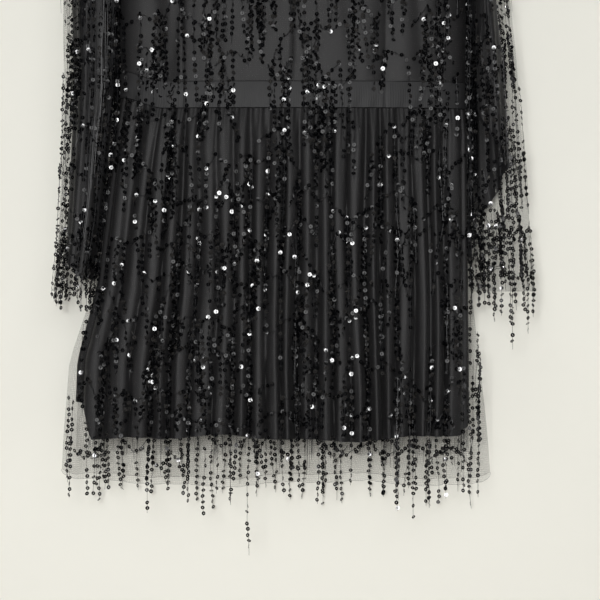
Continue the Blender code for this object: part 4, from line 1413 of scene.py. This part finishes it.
def body_motif(trim, relief, x, z):
    """One embroidered line on the body with the stems and strands that hang from it."""
    uneven = trim.random
    shape, mirror = uneven.choice(MOTIFS), uneven.choice((-1, 1))

    def spot(across, up):
        limit = body_reach(z, x) - MOTIF_OFF_SIDE
        return relief.place(np.clip(x + across, -limit, limit), z + up, MOTIF_LIFT, hung=False)

    corners = motif(trim, spot, relief.facing, shape, mirror, uneven.uniform(*MOTIF_SCALES))
    chosen = uneven.sample(range(len(corners)), uneven.choice(STRAND_COUNTS))
    for number, corner in enumerate(chosen):
        strand_x, strand_z = x + corners[corner, 0], z + corners[corner, 1]
        if number == 1:
            strand_x = x + corners[chosen[0], 0] + uneven.choice((-1, 1)) * uneven.uniform(*STEM_APART) * MM
            strand_z = z + corners[chosen[0], 1] - uneven.uniform(*STEM_LOWER) * MM
        long = uneven.uniform(*STRAND_LENGTHS) * MM
        lowest = LOWEST_STRAND_Z - (LOW_STRAND_MORE if uneven.random() < LOW_STRAND_SHARE else 0)
        long = min(long, strand_z - lowest)
        if long < SHORTEST_STRAND or not inside_body(strand_x, strand_z, relief.facing):
            continue
        if number < STEMS:
            embroidered_stem(trim, relief, strand_x, strand_z, min(long, strand_z - STEM_FOOT_Z))
            continue
        hanging_strand(trim, relief, strand_x, strand_z, long)
        if uneven.random() < STRANDS_BESIDE:
            second_x = strand_x + uneven.choice((-1, 1)) * uneven.uniform(*SECOND_APART) * MM
            hanging_strand(trim, relief, second_x, strand_z, long * uneven.uniform(*SECOND_LENGTHS))


def body_strands(trim, relief, top, foot, density):
    """Rows of embroidered lines and the strands that hang from them, between two heights."""
    uneven = trim.random
    for row, level in enumerate(MOTIF_ROWS_Z):
        level = level * MM
        if not foot <= level < top:
            continue
        shift = (row % 2) * 0.5
        for place in MOTIF_PLACES:
            x = (place + shift) * MOTIF_PITCH + uneven.gauss(0, MOTIF_UNEVEN[0]) * MM
            z = level + uneven.gauss(0, MOTIF_UNEVEN[1]) * MM
            if inside_body(x, z, relief.facing) and uneven.random() <= density:
                body_motif(trim, relief, x, z)


def side_strands(trim, relief, side, count):
    """Loose strands that hang off the side of the skirt's net."""
    uneven = trim.random
    for _ in range(count):
        z = uneven.uniform(*SIDE_STRANDS_Z) * MM
        flare = read_table(NET_FLARE, SKIRT_Z - z, 1 if side < 0 else 2)
        x = side * (body_reach(z, side) + flare * uneven.uniform(0.1, 1) + uneven.uniform(0, 3) * MM)
        long = min(uneven.uniform(*SIDE_STRAND_LENGTHS) * MM, z - SIDE_STRANDS_FOOT_Z)
        lean = side * uneven.uniform(0, SIDE_STRAND_LEAN)
        hanging_strand(trim, relief, x, z, long, lean=lean, gap_share=SIDE_GAP_SHARE)


def tufts(trim, relief, places, lengths, spread, count):
    """Bundles of bare thread, hanging close together."""
    uneven = trim.random
    width = bpy.context.scene.dress_sizes.thread * TUFT_THREAD_SHARE
    for x, z in places:
        for _ in range(count):
            long = uneven.uniform(*lengths) * MM
            down = np.linspace(0, long, 3)
            xs = x + uneven.gauss(0, spread) * MM + uneven.gauss(0, TUFT_LEAN) * down
            path, ways = relief.place(xs, z - down, uneven.uniform(*TUFT_LIFT) * MM)
            trim.thread(path, ways, width)


# Strands over the sleeves


def sleeve_path(cloth, angle, start, length, lift, uneven, count=None):
    """A path down the sleeve at one angle, from a row and of a length."""
    line, _ = cloth.at(cloth.rows, np.full(len(cloth.rows), angle % (2 * math.pi)))
    run = run_along(line)
    lengths = np.interp(start, cloth.rows, run) + np.linspace(0, length, count or points_along(length))
    rows = np.interp(lengths, run, cloth.rows)
    sway = uneven.uniform(0, SLEEVE_SWAY)
    angles = (angle + sway * np.sin(lengths * SLEEVE_SWAY_TURNS + uneven.uniform(0, 6))) % (2 * math.pi)
    points, ways = cloth.at(rows, angles)
    points = points + ways * lift
    points[:, 2] -= np.maximum(lengths - run[-1], 0)
    return points, ways


def sleeve_strands(trim, cloth, density):
    """Embroidered lines and strands all round a sleeve."""
    uneven = trim.random
    for row, level in enumerate(SLEEVE_ROWS):
        for place in range(SLEEVE_MOTIFS):
            angle = (place + 0.5 * (row % 2) + uneven.gauss(0, SLEEVE_UNEVEN)) * 2 * math.pi / SLEEVE_MOTIFS
            start = level + uneven.gauss(0, SLEEVE_UNEVEN)
            outside = max(math.cos(angle), 0) ** 2
            if uneven.random() > density * (1 - SLEEVE_OUTSIDE_LESS * outside):
                continue

            def spot(across, up, angle=angle, start=start):
                angles = (angle + across / SLEEVE_RADIUS) % (2 * math.pi)
                rows = np.clip(start - up / SLEEVE_ROW_HEIGHT, SLEEVE_MOTIF_FIRST_ROW, cloth.rows[-1])
                points, ways = cloth.at(rows, angles)
                return points + ways * MOTIF_LIFT, ways

            shape, mirror = uneven.choice(MOTIFS), uneven.choice((-1, 1))
            corners = motif(trim, spot, None, shape, mirror, SLEEVE_MOTIF_SCALE)
            for corner in uneven.sample(range(len(corners)), uneven.choice(SLEEVE_STRAND_COUNTS)):
                strand = angle + corners[corner, 0] / SLEEVE_RADIUS
                begin = float(np.clip(start - corners[corner, 1] / SLEEVE_ROW_HEIGHT, *SLEEVE_STRAND_ROWS))
                long = uneven.uniform(*SLEEVE_STRAND_LENGTHS) * MM
                lift = uneven.uniform(*SLEEVE_STRAND_LIFT) * MM
                points, ways = sleeve_path(cloth, strand, begin, long, lift, uneven)
                if points[-1, 2] >= SLEEVE_FOOT_Z:
                    pitch = CLOSE_PITCH if uneven.random() < CLOSE_SHARE else None
                    trim.beaded(points, ways, None, pitch=pitch, tilt=EDGE_TILT)


def outer_strands(trim, cloth, places):
    """Long strands down the outside of a sleeve: angle, first row and length in millimetres."""
    for angle, start, long in places:
        points, ways = sleeve_path(cloth, angle, start, long * MM, OUTER_LIFT, trim.random)
        trim.beaded(points, ways, None, gap_share=OUTER_GAP_SHARE, tilt=EDGE_TILT)


def gap_strands(trim, side, count):
    """Strands that fall between the body and a sleeve from the underarm."""
    uneven = trim.random
    stitch = bpy.context.scene.dress_sizes.stitch
    for _ in range(count):
        top = uneven.uniform(*GAP_STRANDS_Z) * MM
        z = top - np.linspace(0, uneven.uniform(*GAP_STRAND_LENGTHS) * MM, GAP_STRAND_POINTS)
        z = z[z > GAP_STRANDS_FOOT_Z]
        x = np.array([body_reach(height, side) for height in z]) + uneven.uniform(*GAP_STRANDS_OFF_BODY) * MM
        y = np.full(len(z), uneven.uniform(-GAP_STRANDS_DEEP, GAP_STRANDS_DEEP) * MM)
        path = np.stack([side * x, y, z], axis=1)
        trim.beaded(path, np.tile((0.0, -1.0, 0.0), (len(z), 1)), None, stitch, pitch=GAP_PITCH)


def bare_threads(trim, cloth, count, lengths, width, turns):
    """Fine loose threads down a sleeve, which fill the gaps between the strands."""
    uneven = trim.random
    for _ in range(count):
        angle = uneven.uniform(*turns) * math.pi
        start = uneven.uniform(*BARE_THREAD_ROWS)
        long = uneven.uniform(*lengths) * MM
        lift = uneven.uniform(*BARE_THREAD_LIFT) * MM
        points, ways = sleeve_path(cloth, angle, start, long, lift, uneven, BARE_THREAD_POINTS)
        if points[-1, 2] > BARE_THREADS_FOOT_Z:
            trim.thread(points, ways, width * MM)


# Finishes


def new_finish(name):
    finish = bpy.data.materials.new(name)
    finish.use_nodes = True
    finish.node_tree.nodes["Principled BSDF"].location = (300, 0)
    return finish, finish.node_tree.nodes["Principled BSDF"]


def add_node(finish, kind, links=(), **settings):
    """Adds a node with settings, by property or input name, and links (output, node, input)."""
    node = finish.node_tree.nodes.new(kind)
    for name, value in settings.items():
        if hasattr(node, name):
            setattr(node, name, value)
        else:
            node.inputs[name.replace("_", " ")].default_value = value
    for output, other, socket in links:
        finish.node_tree.links.new(node.outputs[output], other.inputs[socket])
    return node


def set_shader(shader, **values):
    for name, value in values.items():
        shader.inputs[name.replace("_", " ")].default_value = value


def rgba(colour, share=1.0):
    return (*[part * share for part in colour], 1)


def two_shades(finish, shader, colour, dark, light, **noise):
    """A colour that drifts between two shares of itself by a noise, which is returned."""
    mix = add_node(finish, "ShaderNodeMix", [(2, shader, "Base Color")], data_type="RGBA")
    mix.inputs[6].default_value = rgba(colour, dark)
    mix.inputs[7].default_value = rgba(colour, light)
    return add_node(finish, "ShaderNodeTexNoise", [("Fac", mix, 0)], **noise)


def uneven_gloss(finish, shader, low, high, **noise):
    """A roughness that drifts between two values by a noise."""
    links = [("Result", shader, "Roughness")]
    rough = add_node(finish, "ShaderNodeMapRange", links, To_Min=low, To_Max=high)
    add_node(finish, "ShaderNodeTexNoise", [("Fac", rough, "Value")], **noise)


def bumps(finish, shader, texture, strength, distance, **settings):
    """A texture that raises the surface, which is returned."""
    links = [("Normal", shader, "Normal")]
    bump = add_node(finish, "ShaderNodeBump", links, Strength=strength, Distance=distance)
    return add_node(finish, texture, [("Fac", bump, "Height")], **settings)


def along_cloth(finish, *textures):
    """Lays textures out in metres along the cloth."""
    place = add_node(finish, "ShaderNodeUVMap", [("UV", texture, "Vector") for texture in textures])
    place.uv_map = CLOTH_UV


def crepe_finish():
    """Polyester crepe, woven from twisted yarn: matt, with a pebbled surface and slight clouds."""
    finish, shader = new_finish("Polyester crepe, woven")
    set_shader(shader, Roughness=0.56, IOR=1.46, Specular_IOR_Level=0.38, Sheen_Weight=0.03)
    colour = bpy.context.scene.dress_colours.crepe
    cloud = two_shades(finish, shader, colour, 0.55, 0.85, Scale=14.0, Detail=3.0)
    # Crepe yarn lies 0.35 mm apart. It is drawn 1.2 mm apart so that it shows.
    pebble = bumps(finish, shader, "ShaderNodeTexNoise", 0.5, 0.0002, Scale=1 / (1.2 * MM), Detail=2.0)
    along_cloth(finish, cloud, pebble)
    return finish


def satin_finish():
    """Satin-backed crepe: smoother than the lining, so the band has a soft sheen along it."""
    finish, shader = new_finish("Satin-backed crepe, woven")
    set_shader(shader, Roughness=0.5, IOR=1.5, Specular_IOR_Level=0.22, Sheen_Weight=0.03)
    colour = bpy.context.scene.dress_colours.satin
    cloud = two_shades(finish, shader, colour, 0.85, 1.15, Scale=30.0, Detail=2.0)
    # Warp floats lie 0.2 mm apart. They are drawn 1 mm apart so that they show.
    scale = 1 / (2 * math.pi * MM)
    floats = bumps(finish, shader, "ShaderNodeTexWave", 0.4, 0.0002, Scale=scale, Distortion=3.0)
    along_cloth(finish, cloud, floats)
    return finish


def tulle_finish(name, dense, open_part):
    """Nylon tulle, knitted in small six-sided holes: a grey haze, a little denser at its threads."""
    finish, shader = new_finish(name)
    colour = rgba(bpy.context.scene.dress_colours.tulle)
    set_shader(shader, Base_Color=colour, Roughness=0.7, Specular_IOR_Level=0.2)
    veil = add_node(
        finish, "ShaderNodeMapRange", [("Result", shader, "Alpha")],
        From_Min=0.0, From_Max=0.28, To_Min=dense, To_Max=open_part,
    )
    # Holes of 1 mm. They are drawn 2.2 mm wide so that they show.
    holes = add_node(
        finish, "ShaderNodeTexVoronoi", [("Distance", veil, "Value")],
        feature="DISTANCE_TO_EDGE", Scale=1 / (2.2 * MM), Randomness=0.35,
    )
    along_cloth(finish, holes)
    return finish


def sequin_finish():
    """Polyester film, stamped into cups: glossy black that throws small bright reflections."""
    finish, shader = new_finish(SEQUIN_FINISH)
    colour = rgba(bpy.context.scene.dress_colours.sequins)
    set_shader(shader, Base_Color=colour, IOR=1.5, Specular_IOR_Level=0.42)
    uneven_gloss(finish, shader, 0.07, 0.18, Scale=160.0)


def thread_finish():
    """Polyester filament thread, twisted: nearly matt black with a slight gleam."""
    finish, shader = new_finish(THREAD_FINISH)
    set_shader(shader, Roughness=0.45, IOR=1.54, Specular_IOR_Level=0.35)
    two_shades(finish, shader, bpy.context.scene.dress_colours.thread, 0.8, 2.2, Scale=240.0)


def beech_finish():
    """Beech, turned and clear-varnished: warm straight grain with short dark flecks."""
    finish, shader = new_finish("Beech, varnished")
    set_shader(shader, IOR=1.5, Roughness=0.35, Coat_Weight=0.5, Coat_Roughness=0.12)
    colour = bpy.context.scene.dress_colours.beech
    flecks = two_shades(finish, shader, colour, 0.72, 1.0, Scale=1.0, Detail=5.0, Roughness=0.6)
    # Growth rings 3 mm wide, drawn out along the arm.
    place = add_node(finish, "ShaderNodeMapping", [("Vector", flecks, "Vector")])
    place.inputs["Scale"].default_value = (18, 330, 330)
    add_node(finish, "ShaderNodeTexCoord", [("Object", place, "Vector")])
    return finish


def wire_finish():
    """Nickel-plated steel wire, drawn and polished: bright, with faint drawing lines."""
    finish, shader = new_finish("Steel wire, nickel-plated")
    set_shader(shader, Base_Color=rgba(bpy.context.scene.dress_colours.wire), Metallic=1.0, Roughness=0.2)
    uneven_gloss(finish, shader, 0.14, 0.3, Scale=300.0, Detail=3.0)
    return finish


def plaster_finish(name, colour, one_sided):
    """Painted plaster: plain and pale, with a faint roller texture."""
    finish, shader = new_finish(name)
    set_shader(shader, Base_Color=rgba(colour), Roughness=0.85)
    bumps(finish, shader, "ShaderNodeTexNoise", 0.1, 0.0005, Scale=400.0)
    if one_sided:
        output = finish.node_tree.nodes["Material Output"]
        mix = add_node(finish, "ShaderNodeMixShader", [("Shader", output, "Surface")])
        finish.node_tree.links.new(shader.outputs["BSDF"], mix.inputs[1])
        add_node(finish, "ShaderNodeBsdfTransparent", [("BSDF", mix, 2)])
        add_node(finish, "ShaderNodeNewGeometry", [("Backfacing", mix, 0)])
    return finish


# Operators


class DRESS_OT_linings(bpy.types.Operator):
    """Cut and hang the crepe linings of the bodice, skirt and sleeves"""

    bl_idname = "dress.linings"
    bl_label = "Linings"

    def execute(self, context):
        def sleeve(side, hand):
            return sleeve_lining(sleeve_cloth(side, hand, LINING_NARROWER[hand]), LINING_HEMS[hand])

        thick = context.scene.dress_sizes.lining
        layer_pieces("lining", "crepe", thick, crepe_finish(), bodice_cloth, skirt_lining, sleeve)
        return {"FINISHED"}


class DRESS_OT_waistband(bpy.types.Operator):
    """Set the satin waistband between bodice and skirt"""

    bl_idname = "dress.waistband"
    bl_label = "Waistband"

    def execute(self, context):
        finish = satin_finish()
        thick = context.scene.dress_sizes.band
        for facing, face in FACES:
            name, node = "waistband" if facing < 0 else "waistband_at_back", f"waistband_{face}"
            cloth_piece(name, band_cloth(facing), thick, finish, "band", node)
        return {"FINISHED"}


class DRESS_OT_net(bpy.types.Operator):
    """Lay the net over the bodice, skirt and sleeves"""

    bl_idname = "dress.net"
    bl_label = "Net"

    def execute(self, context):
        def bodice(facing, side):
            return bodice_cloth(facing, side).moved(NET_OUT)

        finish = tulle_finish("Nylon tulle, knitted", 0.14, 0.03)
        under = tulle_finish("Nylon tulle, knitted and gathered in two layers", 0.15, 0.035)
        thick = context.scene.dress_sizes.net
        layer_pieces("net", "net", thick, finish, bodice, skirt_net, sleeve_net)
        strip = under_net()
        cloth_piece("net_under_hem", strip, thick, under, "net", None)
        return {"FINISHED"}


class DRESS_OT_strands(bpy.types.Operator):
    """Embroider the net and hang the strands of sequins from it"""

    bl_idname = "dress.strands"
    bl_label = "Sequin strands"

    def execute(self, context):
        sequin_finish()
        thread_finish()
        parts = ((BODY_TOP_Z, BODY_SPLIT_Z, "bodice"), (BODY_SPLIT_Z, BODY_FOOT_Z, "skirt"))
        for facing, face in FACES:
            relief = Relief(facing)
            for number, (top, foot, part) in enumerate(parts):
                trim = Trim(100 + 10 * facing + number)
                body_strands(trim, relief, top, foot, BODY_DENSITY[face])
                if part == "skirt":
                    for side, count in SIDE_STRANDS.items():
                        side_strands(trim, relief, side, count)
                trim.piece(f"strands_{part}_{face}")
        for side, hand in HANDS:
            trim = Trim(300 + side)
            cloth = sleeve_net(side, hand)
            sleeve_strands(trim, cloth, SLEEVE_DENSITY)
            for threads in BARE_THREADS[hand]:
                bare_threads(trim, cloth, *threads)
            gap_strands(trim, side, GAP_STRANDS)
            outer_strands(trim, cloth, OUTER_STRANDS[hand])
            trim.piece(f"strands_sleeve_{hand}")
        return {"FINISHED"}


def back_strands(uneven):
    """Places and lengths of the strands at the back hem."""
    pitch = BACK_STRANDS_WIDTH / BACK_STRANDS
    strands = []
    for number in range(BACK_STRANDS):
        x = BACK_STRANDS_FROM + (number + uneven.uniform(0.2, 0.8)) * pitch
        strands.append((x, uneven.uniform(*BACK_STRAND_LENGTHS)))
    return strands


def hem_fringe(facing):
    """The strands, threads and tufts along the front or back hem."""
    trim = Trim(500 + facing)
    uneven = trim.random
    relief = Relief(facing)
    strands = FRONT_STRANDS if facing < 0 else back_strands(uneven)
    net = skirt_net(facing)
    edge, edge_out = net.points[-1], net.out[-1, 1:-1]
    trim.thread(edge[1:-1] + edge_out * EDGE_THREAD_OUT, edge_out, EDGE_THREAD)
    order = np.argsort(edge[:, 0])
    for x, below in strands:
        x = x * MM
        hem = float(np.interp(x, edge[order, 0], edge[order, 2]))
        top = hem + uneven.uniform(*HEM_STRANDS_ABOVE) * MM
        long = top - hem + below * MM
        lean = uneven.gauss(0, HEM_STRAND_LEAN)
        hanging_strand(trim, relief, x, top, long, HEM_STRAND_LIFT, lean, tilt=HEM_STRAND_TILT)
        if uneven.random() < HEM_STRANDS_BESIDE:
            second_x = x + uneven.choice((-1, 1)) * uneven.uniform(*HEM_SECOND_APART) * MM
            shorter = long * uneven.uniform(*HEM_SECOND_LENGTHS)
            hanging_strand(trim, relief, second_x, top, shorter, HEM_STRAND_LIFT, 0.0, tilt=HEM_STRAND_TILT)
    places = [
        (uneven.uniform(*HEM_THREADS_X) * MM, HEM_THREADS_Z - uneven.uniform(*HEM_THREADS_LOWER) * MM)
        for _ in range(HEM_THREADS)
    ]
    tufts(trim, relief, places, HEM_THREAD_LENGTHS, HEM_THREAD_SPREAD, 1)
    tufts(trim, relief, [(x * MM, TUFTS_Z) for x in TUFTS_X], TUFT_LENGTHS, TUFT_SPREAD, TUFT_THREADS)
    return trim


def cuff_fringe(side, hand):
    """The strands below one cuff."""
    trim = Trim(700 + side)
    uneven = trim.random
    cloth = sleeve_net(side, hand)
    for turn, below in CUFF_STRANDS[hand]:
        angle = turn * math.pi
        start = uneven.uniform(*CUFF_ROWS)
        line, _ = cloth.at(np.array([start, cloth.rows[-1]]), np.full(2, angle % (2 * math.pi)))
        long = float(np.linalg.norm(line[1] - line[0])) + below * MM
        points, ways = sleeve_path(cloth, angle, start, long, OUTER_LIFT, uneven)
        trim.beaded(points, ways, None, gap_share=CUFF_GAP_SHARE, tilt=EDGE_TILT)
    return trim


class DRESS_OT_edge_fringe(bpy.types.Operator):
    """Hang the strands and threads that fall below the hem and the cuffs"""

    bl_idname = "dress.edge_fringe"
    bl_label = "Hem and cuff fringe"

    def execute(self, context):
        for facing, face in FACES:
            hem_fringe(facing).piece(f"fringe_hem_{face}", f"hem_fringe_{face}")
        for side, hand in HANDS:
            cuff_fringe(side, hand).piece(f"fringe_cuff_{hand}", f"cuff_fringe_{hand}")
        return {"FINISHED"}


def wire_mesh(name, path):
    """A smooth closed wire with a rounded tip along a path in the plane of X and Z."""
    along = unit(np.gradient(path, axis=0))
    across = np.tile((0.0, 1.0, 0.0), (len(path), 1))
    width = np.ones(len(path))
    width[: len(HOOK_TIP)] = HOOK_TIP
    spoke = spokes(across, np.cross(along, across), even_turns(HOOK_SIDES))
    rings = path[:, None] + spoke * (HOOK_WIRE / 2 * width)[:, None, None]
    return rod_mesh(name, rings.reshape(-1, 3).tolist(), len(path), HOOK_SIDES)


def arm_top(x):
    return np.minimum(shoulder_line(x) - ARM_UNDER_SHOULDER, ARM_TOP_Z)


def arm_mesh(name):
    """The bowed wooden arm with its edges rounded over."""
    side = np.array(ARM_PROFILE, float)
    shape = np.concatenate([side, (side * (-1, 1))[:0:-1]])
    for _ in range(2):
        after = np.roll(shape, -1, axis=0)
        shape = np.stack([shape * 0.75 + after * 0.25, shape * 0.25 + after * 0.75], axis=1).reshape(-1, 2)
    points = []
    for x in np.linspace(-ARM_END_X, ARM_END_X, ARM_STEPS + 1):
        deep = ARM_DEEP + (ARM_END_DEEP - ARM_DEEP) * abs(x) / ARM_END_X
        end = 1 - ARM_END_ROUND * float(smooth((abs(x) / ARM_END_X - ARM_ROUND_FROM) / (1 - ARM_ROUND_FROM)))
        for across, down in shape:
            points.append((x, across * ARM_THICKNESS / 2 * end, float(arm_top(x)) + down * deep * end))
    mesh = rod_mesh(name, points, ARM_STEPS + 1, len(shape))
    mesh.set_sharp_from_angle(angle=math.radians(ARM_SHARP_ANGLE))
    return mesh


def hook_path():
    """The hook's middle line, from its tip over the rail and down into the arm."""
    radius = HOOK_INSIDE + HOOK_WIRE / 2
    angles = np.radians(HOOK_TIP_ANGLE + HOOK_TURN * np.linspace(0, 1, HOOK_STEPS + 1))
    bend = np.stack([radius * np.cos(angles), 0 * angles, -HOOK_INSIDE + radius * np.sin(angles)], axis=1)
    share = np.linspace(0, 1, STEM_STEPS + 1)[1:]
    stem_x = bend[-1, 0] * (1 - smooth(share))
    stem = np.stack([stem_x, 0 * share, bend[-1, 2] - STEM_DROP * share], axis=1)
    return np.concatenate([bend, stem, np.array([(0, 0, float(arm_top(0.0)) - STEM_IN_ARM)])])


class DRESS_OT_hanger(bpy.types.Operator):
    """Turn the wooden arm and bend its wire hook"""

    bl_idname = "dress.hanger"
    bl_label = "Hanger"

    def execute(self, context):
        arm = add_piece("beech_arm", arm_mesh("beech_arm"), beech_finish())
        dress_piece(arm, "wood", "hanger_arm")
        hook = add_piece("wire_hook", wire_mesh("wire_hook", hook_path()), wire_finish())
        dress_piece(hook, "wire", "hanger_hook")
        return {"FINISHED"}


def area_light(name, place, target, width, height, radiance):
    """A soft light whose face has a given radiance."""
    light = bpy.data.lights.new(name, "AREA")
    light.shape = "RECTANGLE"
    light.size = width
    light.size_y = height
    light.energy = radiance * math.pi * width * height
    lamp = bpy.data.objects.new(name, light)
    bpy.context.scene.collection.objects.link(lamp)
    lamp.location = place
    way = np.array(target) - np.array(place)
    lamp.rotation_euler = Vector(way).to_track_quat("-Z", "Y").to_euler()


def stage_piece(name, corners, finish):
    """A flat piece of the stage."""
    piece = add_piece(name, new_mesh(name, corners, [list(range(len(corners)))]), finish)
    return piece


class DRESS_OT_stage(bpy.types.Operator):
    """Set the wall, the floor, the lights and the camera"""

    bl_idname = "dress.stage"
    bl_label = "Stage"

    def execute(self, context):
        colours = context.scene.dress_colours
        plaster = plaster_finish("Plaster wall, painted", colours.wall, True)
        sides = ((-WALL_HALF_WIDTH, FLOOR_Z), (WALL_HALF_WIDTH, FLOOR_Z))
        sides += ((WALL_HALF_WIDTH, WALL_TOP_Z), (-WALL_HALF_WIDTH, WALL_TOP_Z))
        wall = stage_piece("wall", [(x, WALL_Y, z) for x, z in sides], plaster)
        # The light behind the wall reaches the back of the dress.
        wall.visible_shadow = False
        plaster = plaster_finish("Plaster floor, painted", colours.floor, False)
        sides = ((-1, -1), (1, -1), (1, 1), (-1, 1))
        corners = [(x * FLOOR_HALF_WIDTH, y * FLOOR_HALF_WIDTH, FLOOR_Z) for x, y in sides]
        stage_piece("floor", corners, plaster)
        for light in LIGHTS:
            area_light(*light)
        world = bpy.data.worlds.new("room")
        world.use_nodes = True
        world.node_tree.nodes["Background"].inputs["Color"].default_value = ROOM_COLOUR
        world.node_tree.nodes["Background"].inputs["Strength"].default_value = ROOM_STRENGTH
        context.scene.world = world
        context.scene.view_settings.view_transform = "Standard"
        camera = bpy.data.objects.new("camera", bpy.data.cameras.new("camera"))
        context.scene.collection.objects.link(camera)
        camera.data.sensor_width = SENSOR
        camera.data.lens = SENSOR * VIEW_FROM / VIEW_WIDTH
        camera.data.clip_end = CLIP_END
        camera.location = (VIEW_MIDDLE[0], DRESS_FRONT_Y - VIEW_FROM, VIEW_MIDDLE[1])
        camera.rotation_euler = (math.pi / 2, 0, 0)
        context.scene.camera = camera
        return {"FINISHED"}


STEPS = (
    DRESS_OT_stage,
    DRESS_OT_linings,
    DRESS_OT_waistband,
    DRESS_OT_net,
    DRESS_OT_strands,
    DRESS_OT_edge_fringe,
    DRESS_OT_hanger,
)


class DRESS_PT_panel(bpy.types.Panel):
    """Sizes, colours and making steps of the dress"""

    bl_idname = "DRESS_PT_panel"
    bl_label = "Sequin mini dress"
    bl_space_type = "VIEW_3D"
    bl_region_type = "UI"
    bl_category = "Dress"

    def draw(self, context):
        for group in (context.scene.dress_sizes, context.scene.dress_colours):
            for name in group.__annotations__:
                self.layout.prop(group, name)
        for step in STEPS:
            self.layout.operator(step.bl_idname)


CLASSES = (DressSizes, DressColours, *STEPS, DRESS_PT_panel)


def register():
    for each in CLASSES:
        bpy.utils.register_class(each)
    bpy.types.Scene.dress_sizes = bpy.props.PointerProperty(type=DressSizes)
    bpy.types.Scene.dress_colours = bpy.props.PointerProperty(type=DressColours)


def unregister():
    del bpy.types.Scene.dress_colours
    del bpy.types.Scene.dress_sizes
    for each in reversed(CLASSES):
        bpy.utils.unregister_class(each)


def main():
    register()
    for step in STEPS:
        group, name = step.bl_idname.split(".")
        getattr(getattr(bpy.ops, group), name)()


if __name__ == "__main__":
    main()
